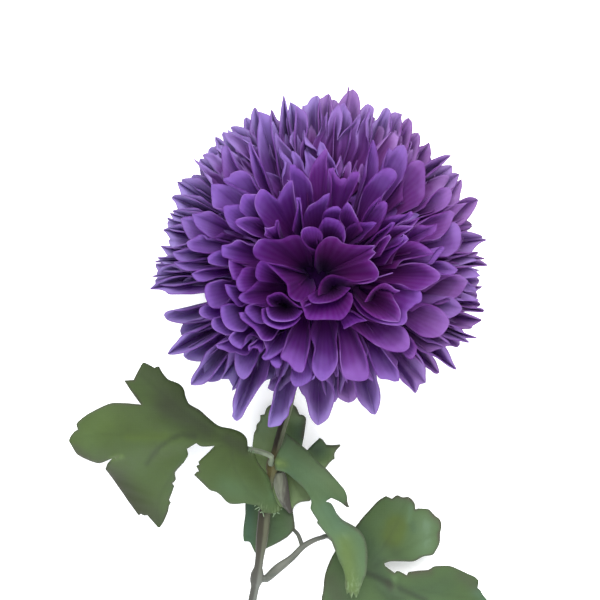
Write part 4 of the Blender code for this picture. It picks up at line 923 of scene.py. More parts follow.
    (70.4, 0.8, (-0.3, -19.6), ((-8.8, -53.3), (-7.6, -55.8), (-6.2, -57.1), (-5.3, -60), (-4.7, -63.5),
        (-3.9, -65.9), (-2.4, -68.2), (-0.9, -69.6), (0.7, -68.5), (2.7, -66.6), (3.9, -63.5), (5.1, -60),
        (5.8, -56.2), (1.7, -50))),
    (59.7, 0.8, (-10.4, -21.7), ((-14.5, -48.3), (-18.7, -49.9), (-20.1, -51.4), (-20.8, -53.1),
        (-21.7, -54.4), (-20.2, -55.4), (-18.3, -55.6), (-16.2, -55), (-15, -53.4), (-11.7, -50.4))),
    (74.2, 0.8, (-8.4, -21.7), ((-16.5, -50.1), (-19, -55), (-19.4, -57.9), (-20, -60.9), (-21.1, -64.8),
        (-21.6, -70), (-20.8, -70.2), (-18.3, -69.6), (-16.6, -68.9), (-15.4, -67), (-13.4, -64.8),
        (-12.9, -61.6), (-11.5, -59.1), (-10.4, -55.3), (-9.6, -52.9), (-9.2, -49.2))),
    (69, 0.8, (-5.1, -21.7), ((-12.4, -48.7), (-10.8, -51.6), (-8.8, -52), (-6.4, -51.1), (-4.4, -49.6),
        (-3.6, -48.1), (-4, -45.5), (-5.2, -42.4))),
    (69, 0.8, (-14.6, -25.8), ((-20.3, -40.6), (-19.5, -42.9), (-18.3, -44.1), (-16.5, -44.3),
        (-15.9, -42.9), (-16.3, -40.3))),
    (70.1, 0.8, (-24, -13.5), ((-42.6, -16.8), (-46.3, -18.6), (-49.2, -20), (-52.9, -21), (-57.2, -21.8),
        (-61.2, -21.9), (-63.7, -22.6), (-64.9, -24.1), (-64.1, -25.5), (-62.1, -26.4), (-59.1, -27),
        (-55.2, -27.2), (-49.3, -26.6), (-43.5, -24.9))),
    (66.6, 0.7, (-24, -16), ((-49.2, -25.8), (-56.1, -27.1), (-56.9, -28.1), (-57.9, -30.4), (-57.5, -31.9),
        (-54.6, -31.8), (-50.6, -31.1), (-44.3, -29))),
    (75.7, 0.7, (-24, -17.6), ((-50.7, -30.6), (-56.3, -32.1), (-59, -35), (-61.7, -37.8), (-63.3, -39.9),
        (-60.7, -39.9), (-57.6, -39.5), (-55, -38.9), (-49.1, -36.3), (-43.3, -33))),
    (70.7, 0.7, (-23.2, -19.7), ((-53.5, -36.5), (-56.3, -39.5), (-56.7, -40.7), (-55, -42.1),
        (-52.3, -42.6), (-49.5, -42.7), (-48, -42), (-43.5, -38.8))),
    (76, 0.7, (-22.4, -20.1), ((-46.6, -38.8), (-48.6, -42.7), (-49.7, -45.2), (-51.7, -48), (-52.9, -50.1),
        (-53.5, -52.7), (-50.8, -52.5), (-48.6, -52.2), (-46.5, -51), (-43.4, -46.9))),
    (70.4, 0.7, (-21.6, -20.9), ((-46.4, -38.9), (-48.1, -44.7), (-47.9, -49), (-47.1, -51.2),
        (-44.7, -51.3), (-42.3, -50.7), (-40.6, -49.7), (-38.6, -45.4), (-37.7, -39.6))),
    (66.9, 0.7, (-19.9, -20.9), ((-37.9, -42.2), (-39.7, -46.4), (-40.9, -50.2), (-37.7, -50.1),
        (-36.9, -51.6), (-36, -53.1), (-36.7, -55), (-34.7, -53.6), (-33, -50.4), (-31.3, -45.4))),
    (77, 0.8, (-16.6, -20.1), ((-31.2, -46.9), (-34.2, -53.5), (-34.9, -56), (-35.7, -58.2), (-36, -61.1),
        (-35.9, -63.7), (-36.4, -65.7), (-35.6, -67.3), (-34.8, -67.7), (-32.5, -65.7), (-30.9, -62.6),
        (-28.8, -59), (-26.3, -55), (-24.2, -52.1), (-22.2, -49.2), (-21.4, -45.1))),
    (69.5, 0.7, (-18.7, -20.9), ((-34.1, -37.7), (-34.4, -42.5), (-33.9, -46.1), (-32.7, -48.3),
        (-31.1, -49.3), (-29.2, -48.1), (-27.8, -45.9), (-26, -42.5), (-25.3, -38.5))),
    (57.9, 0.7, (-16.6, -22.5), ((-26.5, -42.2), (-25.4, -49), (-24.2, -51.9), (-22.4, -50.6), (-21, -50.1),
        (-19.5, -50.5), (-18.2, -46.2), (-18.2, -41.3))),
    (66.6, 0.7, (-24.8, 7), ((-49.1, 19), (-55.5, 19.7), (-58.1, 19.6), (-61.1, 19.3), (-59.8, 17.8),
        (-62.4, 18.5), (-61.2, 17), (-60.2, 15.2), (-63.7, 16.7), (-62.7, 15.3), (-63.3, 14.4),
        (-61.9, 11.6), (-55.3, 10.2), (-47, 11.6))),
    (67.2, 0.7, (-25.6, 4.5), ((-47, 12.4), (-55.4, 13.4), (-61, 12.8), (-65.4, 11.7), (-63.5, 10.2),
        (-61.8, 7.7), (-62.6, 6.9), (-60.7, 3.9), (-54, 3.6), (-47, 5.1))),
    (67.3, 0.7, (-25.6, 2), ((-49, 5.1), (-56.6, 4.4), (-60.9, 3.7), (-66.4, 5.1), (-64.3, 2.8),
        (-62.7, 0.6), (-57.4, -0.5), (-49, 0.3))),
    (69.7, 0.7, (-25.6, -0.4), ((-48.9, 1.9), (-55.6, 1.9), (-61.6, 0.4), (-64.7, -0.3), (-67.4, 0.2),
        (-66, -1.1), (-68.9, -1.8), (-65.1, -2.2), (-63.8, -3), (-67.9, -2.6), (-68.2, -3.2), (-67.2, -5.2),
        (-59.4, -6.2), (-48.9, -5.4))),
    (71.3, 0.7, (-25.6, -2.9), ((-47.3, -3.8), (-57.2, -3), (-65, -4.1), (-67.1, -6.1), (-67.5, -7.3),
        (-70, -7.8), (-66.8, -8.2), (-68.3, -9.6), (-68.2, -11), (-59.4, -11.9), (-47.3, -9.5))),
    (72.7, 0.7, (-26.4, -4.5), ((-46.5, -8.7), (-55.1, -7.9), (-63.6, -9), (-67.8, -11), (-69.3, -12.4),
        (-70.6, -13.2), (-65.8, -13.2), (-63.6, -13.9), (-62.1, -15.1), (-58.9, -15.3), (-53, -15.3),
        (-48.9, -14.8), (-46, -14.6))),
    (68, 0.7, (-24.8, 4.5), ((-48.6, 15.4), (-52.6, 16), (-56.3, 15.4), (-55.9, 13.4), (-55.1, 11),
        (-53.9, 8.5), (-52.2, 6.5), (-48.6, 7.3))),
    (69, 0.7, (-23.1, 4.5), ((-43.5, 17.5), (-48.3, 16.9), (-51.5, 16.7), (-50.7, 13.9), (-49.1, 11.1),
        (-47.1, 9.5), (-45.5, 8), (-43.2, 7.2), (-39.6, 9.6))),
    (69, 0.7, (-23.9, 2), ((-41.2, 6.4), (-43.5, 7.6), (-45.9, 6.7), (-47.7, 8.5), (-49.9, 7.3),
        (-51.8, 6.1), (-53.4, 5.1), (-53, 3.5), (-51.8, 2.3), (-48.3, 1.5), (-43.6, 1.6))),
    (67, 0.7, (-25.6, 0.4), ((-47.1, 2.6), (-53.6, 3), (-56.9, 2.2), (-59.8, 1.6), (-59, -0.2),
        (-56.9, -1.8), (-52.8, -2.3), (-47.1, -2.3))),
    (68, 0.7, (-25.6, -1.2), ((-47, -0.7), (-53.5, -1.9), (-56.7, -2.1), (-59, -2.3), (-57.6, -3.9),
        (-54.3, -5.5), (-47, -5.5))),
    (69, 0.7, (-26.4, -3.7), ((-44.3, -5.6), (-49, -6.1), (-51.5, -7.1), (-50.5, -8.7), (-49, -10),
        (-46.6, -10.2), (-42.3, -8.8))),
    (68.5, 0.7, (16.8, 10.1), ((33.2, 22.4), (33.2, 30.3), (34.3, 35.1), (36.3, 37.5), (39.2, 38.2),
        (41.2, 37.2), (41.6, 33.6), (41.4, 28.4), (41.2, 24), (38.8, 20))),
    (68.5, 0.7, (18.5, 6.8), ((41.7, 19.7), (44.5, 24.1), (47.8, 27), (51.1, 27.4), (52.5, 25.8),
        (51.9, 22.6), (50.2, 20.1), (46.2, 17.7), (41.3, 16.1))),
    (69, 0.7, (18.5, 2.7), ((39.5, 12.8), (44.3, 15.9), (48.3, 17.1), (51.6, 18), (53.4, 17), (52.4, 14.4),
        (51.2, 11.2), (47.5, 7.2), (43.6, 6.4))),
    (68, 0.7, (19.3, -0.5), ((47.7, 6.4), (50.1, 11.2), (52.5, 13.5), (54.6, 12.5), (55.8, 10.5),
        (56.2, 6.5), (55, 2.9), (50.9, 0), (46.9, 0))),
    (70, 0.7, (18.5, -2.1), ((42.3, -2.5), (44.6, 1), (46.5, 3.1), (48.5, 3.3), (48.3, 2.2), (46.2, -0.6),
        (43.9, -3.3))),
    (69, 0.7, (18.5, -3.8), ((41.5, -5.6), (45.1, -2.4), (49.8, -2.4), (52.2, -3.6), (54.7, -5.6),
        (53.5, -7), (51.5, -7.6), (48.7, -7.2), (45.9, -5.6))),
    (68, 0.7, (17.7, -9.5), ((41.9, -14.4), (47.1, -10.4), (51.9, -8.1), (55.7, -7.7), (58.2, -9.1),
        (59.5, -10.1), (58.3, -12.3), (56.3, -15.2), (52.1, -17.6), (46, -19.2))),
    (68, 0.7, (16.9, -12.7), ((43.9, -20), (48.8, -17.2), (52, -16.4), (54.6, -18), (56.3, -19.6),
        (57.3, -21.2), (56.4, -22.5), (54.8, -23.7), (52.3, -24.9), (47.3, -24.9), (43.2, -24))),
    (69, 0.7, (16.1, -13.5), ((36.5, -22.4), (42, -19.2), (46.8, -20.8), (50.1, -24), (51.4, -26.4),
        (50.2, -29.6), (47.8, -32.1), (43.8, -32.9), (38.9, -31.2))),
    (68, 0.7, (14.4, -16), ((36.8, -28.1), (42.1, -28.9), (46.7, -31), (51, -33.9), (52.8, -35.5),
        (50.7, -36.8), (46.9, -37.9), (43.6, -39.1), (40.2, -37.9), (37.3, -33.8))),
)
SET_THICKNESS = 0.45 * MM
SOFT_CORNER = math.radians(75)
CUT_STEP = 1.2 * MM
WAVE_SIZE = 9 * MM
WAVE_ASIDE = 0.3 * MM
WAVE_UP = 1.4 * MM
PIT_PLACE = Vector((0.5, -7)) * MM
PIT_REACH = 27 * MM


def petal_half(shape, v):
    """Half of a petal's width, for a petal of length 1."""
    grown = min(1, v / 0.62)
    grown *= grown * (3 - 2 * grown)
    return shape[1] / 2 * (0.2 + 0.8 * grown) * (1 - 0.14 * max(0, (v - 0.7) / 0.3) ** 2)


def petal_point(shape, ways, u, v):
    """A petal of length 1: u runs from -1 to 1 across it, v from 0 at its root to 1 at its tips."""
    lobes, width, notch, sharp, cup, lobe_cup, bow, curl, wave = shape
    roll, crease, nod, sway, frill, start, shorter = ways
    part = (u + 1) / 2 * lobes
    lobe = abs(2 * (part - min(math.floor(part), lobes - 1)) - 1)
    which = min(math.floor(part), lobes - 1)
    cut_back = notch * (sharp * lobe + (1.1 - sharp) * lobe**3) * (1 + 0.12 * (lobes > 2))
    cut_back += 0.05 * (lobes > 2) * math.sin(2.4 * which + start) * (1 - lobe)
    cut_back += shorter * (0.5 + 0.5 * math.sin(math.pi / 2 * u))
    along = v * (1 - cut_back * v * v)
    trough = width * (cup * (u * u - 0.35) + lobe_cup * (lobe * lobe - 0.35)) * v**1.3
    bend = bow * math.sin(math.pi * v) - curl * v**3 - nod * max(0, (v - 0.65) / 0.35) ** 2
    ripple = wave * math.sin(5.2 * u + 2 * v + 9 * curl) * v * v
    fold = width * (crease * (lobe - 0.5) * v + roll * max(0, (abs(u) - 0.6) / 0.4) ** 2 * v * v)
    ruffle = frill * math.sin(8 * u + 5 * v + start) * v**5
    side = u * petal_half(shape, v) + sway * math.cos(3 * u + start) * v**4
    return Vector((side, along, trough + bend + ripple + fold + ruffle))


def core_reach(polar):
    """Distance of the core's surface from the bloom's middle."""
    axial = CORE_FRONT if polar < math.pi / 2 else CORE_BACK * 1.25
    return 1 / math.hypot(math.sin(polar) / CORE_RADIUS, math.cos(polar) / axial)


def outward(tilt, turn, polar):
    """The direction from the bloom's middle at an angle from its face and a turn about it."""
    flat = Vector((math.cos(turn), math.sin(turn), 0)) * math.sin(polar)
    return tilt @ (flat + UP * math.cos(polar))


def away_from(turn, azimuth):
    return (turn - azimuth + math.pi) % (2 * math.pi) - math.pi


def stand(root, tip, outer, swing, twist):
    """Places a petal of length 1 between two points, with its hollow side to the bloom's middle."""
    along = (tip - root).normalized()
    facing = along.cross(outer).cross(along).normalized()
    along = Matrix.Rotation(swing, 3, facing) @ along
    across = along.cross(outer).normalized()
    across = Matrix.Rotation(twist, 3, along) @ across
    return Vector(Matrix((across, along, across.cross(along))).transposed().to_euler())


def pull(before, point, after, sharp):
    """Where a cut edge heads at a corner, and how strongly. A sharp corner has no pull."""
    come, go = point - before, after - point
    if come.angle(go) > sharp:
        return point * 0
    return (come.normalized() + go.normalized()).normalized() * min(come.length, go.length)


def cut_edge(corners, step, sharp, closed=True):
    """Points about a step apart on a cut edge, bent between its soft corners."""
    edge = []
    for i in range(len(corners) if closed else len(corners) - 1):
        a, b, c, d = (corners[(i + k) % len(corners)] for k in (-1, 0, 1, 2))
        leave, arrive = pull(a, b, c, sharp), pull(b, c, d, sharp)
        pieces = max(1, round((c - b).length / step))
        for k in range(pieces):
            t = k / pieces
            place = b * (2 * t**3 - 3 * t**2 + 1) + c * (3 * t**2 - 2 * t**3)
            edge.append(place + leave * (t**3 - 2 * t**2 + t) + arrive * (t**3 - t**2))
    return edge if closed else edge + [corners[-1]]


def set_petal(reach, rise, foot, corners, hollow, chance):
    """A petal that is stretched from its foot on the core to its cut edge, pressed hollow between them."""
    foot = Vector(foot) * MM
    sunk = foot.length / (ROOT_SHARE * CORE_RADIUS)
    depth = ROOT_SHARE * CORE_FRONT * math.sqrt(max(0.01, 1 - sunk**2))
    low = math.hypot(foot.length, depth)
    corners = from_mm(corners)
    far = max((corner - foot).length for corner in corners)
    edge = cut_edge(corners, CUT_STEP, SOFT_CORNER, closed=False)
    raised = []
    for point in edge:
        away = low + (reach * MM - low) * ((point - foot).length / far) ** rise
        raised.append(math.sqrt(max(0, away**2 - point.length_squared)))

    def point_at(u, v):
        i = round((u + 1) / 2 * (len(edge) - 1))
        flat = foot + (edge[i] - foot) * v**1.3
        height = depth + (raised[i] - depth) * v**0.8
        height -= hollow * MM * (1 - u * u) * 6.75 * v * v * (1 - v)
        wave = noise.noise_vector(Vector((*flat, chance * 0.4)) / WAVE_SIZE) * v**1.5
        flat += wave.to_2d() * WAVE_ASIDE
        return Vector((*flat, BLOOM_HEIGHT + height + wave.z * WAVE_UP))

    marks, points, faces = sheet(point_at, len(edge) - 1, 11, 0.05)
    grown = []
    for (u, v), point in zip(marks, points):
        corner = edge[round((u + 1) / 2 * (len(edge) - 1))]
        # Besides the dye, grown carries painted shade here. lit and pale fall near the pit, so the petals
        # darken towards it, and the corner's distance from the foot darkens their sides.
        off = point.to_2d() - PIT_PLACE
        lit = min(1, math.hypot(off.x * 0.65, off.y) / PIT_REACH)
        pale = v + (1 - v) * 0.32 * lit
        grown.append(pale * ((corner - foot).length / far) ** 0.45 * (0.46 + 0.54 * lit))
    half = sum((a - b).length for a, b in zip(edge, edge[1:])) / 3
    margin = [min((1 - abs(u)) * half * v, (1 - v) * far) / MM for u, v in marks]
    tip = max(range(len(edge)), key=lambda i: (edge[i] - foot).length)
    return points, faces, marks, grown, margin, Vector((*edge[tip], BLOOM_HEIGHT + raised[tip]))


def ring_petals(lot):
    """The petals of the rings, under the set ones and behind them. They part on the left."""
    draw = random.Random(SEED)
    petals = []
    for ring in range(FIRST_RING, RING_COUNT):
        share = ring / (RING_COUNT - 1)
        ring_polar = FRONT_RING + (BACK_RING - FRONT_RING) * share
        tilt = Matrix.Rotation(FACE_TILT * (1 - share), 3, "X")
        count = 1 + round(PETALS_AT_EQUATOR * math.sin(ring_polar))
        for n in range(count):
            turn = 2 * math.pi * (n + 0.5 * (ring % 2) + draw.uniform(-0.15, 0.15)) / count
            polar = ring_polar + draw.uniform(-0.07, 0.07)
            reach = RING_REACH * draw.uniform(0.93, 1.05)
            if ring == FIRST_RING:
                reach *= FIRST_RING_SHARE
            single = draw.random() < (0.2 if share < 0.8 else 0.75)
            shape = draw.choice((0, 1) if single else (2, 3, 4, 5))
            swing = draw.uniform(-0.17, 0.17)
            twist = draw.uniform(-0.4, 0.4)
            broad = lot.uniform(0.9, 1.08) * 1.15
            way = lot.randrange(len(PETAL_WAYS))
            if not single or lot.random() < 0.75:
                shape = lot.choice((2, 3, 4, 4, 5, 5, 6))
            off = away_from(turn, PARTING_AZIMUTH)
            if polar > PARTING_START and abs(off) < PARTING_ANGLE:
                turn = PARTING_AZIMUTH + math.copysign(PARTING_ANGLE, off)
                swing, twist, broad = math.copysign(0.05, off), twist * 0.3, broad * 0.75
            if polar > STEM_GAP_START and abs(away_from(turn, STEM_AZIMUTH)) < STEM_GAP_ANGLE:
                continue
            if polar > OUTER_RINGS_START:
                low = abs(away_from(turn, LOW_AZIMUTH)) < LOW_ANGLE
                breadth = (LOW_BREADTH if low else OUTER_BREADTH) * lot.uniform(0.94, 1.05)
                reach = min(BLOOM_RADIUS, breadth / math.sin(polar))
            core = polar * (0.6 + 0.35 * share)
            root = BLOOM_CENTRE + outward(tilt, turn, core) * core_reach(core) * ROOT_SHARE
            tip = BLOOM_CENTRE + outward(tilt, turn, polar) * reach
            length = (tip - root).length
            petals.append({
                "root": root,
                "tip": tip,
                "turned": stand(root, tip, outward(tilt, turn, polar - 0.5), swing, twist),
                "kind": shape * len(PETAL_WAYS) + way,
                "size": Vector((length * broad, length, length)),
                "ring": share,
            })
    return petals


def petal_kind(index, shape, ways):
    """One kind of petal as a sheet, with how far each point has grown and how many mm inside the edge."""
    columns = {1: 14, 2: 24, 3: 27, 4: 32, 5: 35}[shape[0]]
    marks, points, faces = sheet(lambda u, v: petal_point(shape, ways, u, v), columns, 15, 0.05)
    margin = [min((1 - abs(u)) * petal_half(shape, v), (1 - v) * 0.8) * USUAL_LENGTH for u, v in marks]
    mesh = new_mesh(
        "petal", points, [], faces,
        grown=[0.2 + 0.8 * v for u, v in marks], across=[u for u, v in marks], margin=margin,
    )
    return new_piece(f"petal_{index:02}", mesh)


def petal_satin(name, pale_edge_and_highlight_share, faded):
    """Satin, near black and magenta at the root, paler to the tips and bluer to the back rings, with a pale
    cut edge that is partly a painted highlight and a tint that is partly painted cool and warm light.
    """
    satin = Finish(name)
    grown, across = satin.attribute("grown"), satin.attribute("across")
    chance, margin = satin.attribute("chance"), satin.attribute("margin")
    outer = satin.attribute("ring").between(0.1, 0.78)
    streaks = (across * 41 + chance * 60).math("SINE") * 0.5 + 0.5
    clouds = satin.noise(9 * MM)
    dyed = grown * faded + (clouds - 0.5) * 0.25 - (chance - 0.5) * 0.08
    inner_dye = satin.ramp(
        dyed,
        (0.12, (0.003, 0.0005, 0.008)),
        (0.36, (0.048, 0.0016, 0.058)),
        (0.60, (0.053, 0.0022, 0.072)),
        (0.82, (0.066, 0.008, 0.112)),
        (1.0, (0.122, 0.042, 0.225)),
    )
    outer_dye = satin.ramp(
        dyed,
        (0.25, (0.074, 0.014, 0.092)),
        (0.55, (0.080, 0.020, 0.112)),
        (0.80, (0.102, 0.042, 0.156)),
        (1.0, (0.255, 0.180, 0.380)),
    )
    colour = satin.mix(outer, inner_dye, outer_dye)
    # A tint that is partly random and, through chance, bluer on the left and pinker on the right: painted
    # cool light from the left and warm light from the right.
    tint_and_side_light = satin.mix(chance.between(0.1, 0.9), (0.88, 0.98, 1.0), (1.04, 0.9, 0.93))
    colour = satin.mix(1.0, colour, tint_and_side_light, "MULTIPLY")
    colour = satin.mix(streaks * 0.10 * grown, colour, (0.2, 0.1, 0.35))
    # A pale line along the cut edges: partly the cut satin's own paler threads, partly a painted highlight
    # where the edges catch the light.
    spots = satin.noise(11 * MM, 1).between(0.46, 0.64)
    rim = (1 - margin.between(0.05, 0.8)) * grown.between(0.35, 0.9) * (spots * 0.92 + 0.08)
    rim = rim * (1 - outer * 0.55)
    colour = satin.mix(rim * pale_edge_and_highlight_share, colour, (0.22, 0.12, 0.34))
    threads = satin.noise(0.45 * MM, 2)
    roughness = 0.66 + threads * 0.2
    relief = streaks * 0.55 + threads * 0.45
    satin.let_through(0.28, (0.30, 0.03, 0.48))
    return satin.coat(
        colour, roughness, relief, 0.14 * MM,
        Sheen_Weight=0.05, Sheen_Roughness=0.4, Sheen_Tint=(0.6, 0.4, 1.0), Specular_IOR_Level=0.1,
    )


core_dark = Finish("bloom_core_plastic")
grain = core_dark.noise(2 * MM)
colour = core_dark.mix(grain.between(0.3, 0.7), (0.004, 0.0005, 0.009), (0.010, 0.001, 0.02))
core_material = core_dark.coat(colour, 0.8 + grain * 0.2, grain, 0.2 * MM, Specular_IOR_Level=0.02)

outline = []
for i in range(CORE_ROWS + 1):
    polar = math.pi * (i + 0.2) / (CORE_ROWS + 0.4)
    reach = core_reach(polar) * (FRONT_FULLNESS if polar < 1.2 else BACK_FULLNESS)
    outline.append((reach * math.sin(polar), max(reach * math.cos(polar), -CORE_BACK) + BLOOM_HEIGHT))
core = turned_cup("bloom_core", outline, 96, 0.006)
core.data.materials.append(core_material)
core.data.shade_smooth()
fasten(core, "petals", "bloom")

forms = [(shape, ways) for shape in PETAL_SHAPES for ways in PETAL_WAYS]
petal_kinds = group_of("petal_kinds", [petal_kind(i, *form) for i, form in enumerate(forms)])
satin_material = petal_satin("petal_satin", 0.08, 1)
# The cut edge faces get the pale edge colour, partly a painted highlight, on a slightly darker dye.
edge_material = petal_satin("petal_cut_edge", 0.5, 0.86)
lot = random.Random(7)
noise.seed_set(SEED)
for name, table in (("petals_face", FACE_PETALS), ("petals_outline", OUTLINE_PETALS)):
    points, faces = [], []
    values = {"grown": [], "across": [], "margin": [], "chance": [], "ring": []}
    for reach, rise, foot, corners in table:
        # chance rises to the right, to paint cooler light on the left and warmer light on the right into the
        # tint.
        chance = min(1.0, max(0.0, 0.45 + foot[0] / 60 + lot.uniform(-0.3, 0.3)))
        hollow = lot.uniform(1.5, 3.5)
        petal_points, petal_faces, marks, grown, margin, tip = set_petal(
            reach, rise, foot, corners, hollow, chance
        )
        faces += [tuple(len(points) + i for i in face) for face in petal_faces]
        points += petal_points
        off = tip - BLOOM_CENTRE
        ring = max(0.0, (math.acos(off.z / off.length) - FRONT_RING) / (BACK_RING - FRONT_RING))
        values["grown"] += grown
        values["across"] += [u for u, v in marks]
        values["margin"] += margin
        values["chance"] += [chance] * len(marks)
        values["ring"] += [ring] * len(marks)
    set_petals = new_piece(name, new_mesh(name, points, [], faces, **values))
    set_petals.data.materials.append(satin_material)
    set_petals.data.shade_smooth()
    thicken(set_petals, SET_THICKNESS, edge_material)
    fasten(set_petals, "petals", "bloom")

petals = ring_petals(lot)
for petal in petals:
    # chance rises to the right, to paint cooler light on the left and warmer light on the right into the
    # tint.
    petal["chance"] = min(1.0, max(0.0, 0.45 + petal["tip"].x / (160 * MM) + lot.uniform(-0.4, 0.4)))
for name, low, high, ripple in (("petals_front", -1, 0.46, 13 * MM), ("petals_back", 0.46, 2, 9 * MM)):
    chosen = [petal for petal in petals if low < petal["ring"] <= high]
    values = ("turned", "kind", "size", "chance", "ring")
    values = {value: [petal[value] for petal in chosen] for value in values}
    mesh = new_mesh(name, [petal["root"] for petal in chosen], [], [], **values)
    planted_petals = planted.make(
        new_piece(name, mesh),
        Kinds=petal_kinds, Ripple=ripple, Ripple_size=14 * MM, Table_gap=0.3 * MM, Finish=satin_material,
    )
    thicken(planted_petals, PETAL_THICKNESS, edge_material)
    fasten(planted_petals, "petals", "bloom")
clear_group(petal_kinds)


# Leaves. Each is die-cut from stiffened cloth, pressed hot so that it arches over its veins, sprayed
# in two greens with brown margins, and glued to a moulded stalk. Strokes of painted shade darken the
# lobes and folds that turn from the light, and strokes of painted highlight lie along folds and edges.
# Some cut tips have frayed, and a dry sheath of thin plastic is rolled up beside the stem, where the
# back leaf is plugged in.

LEAF_THICKNESS = 0.4 * MM
EDGE_STEP = 0.7 * MM
GRID_STEP = 1.3 * MM
SHARP_CORNER = math.radians(48)
SHEATH_ROUTE = (
    (-17.4, -91.6, 14.4),
    (-16.8, -95, 13.8),
    (-16, -99.5, 13),
    (-14.6, -104.6, 12),
    (-12.4, -109.4, 11),
)
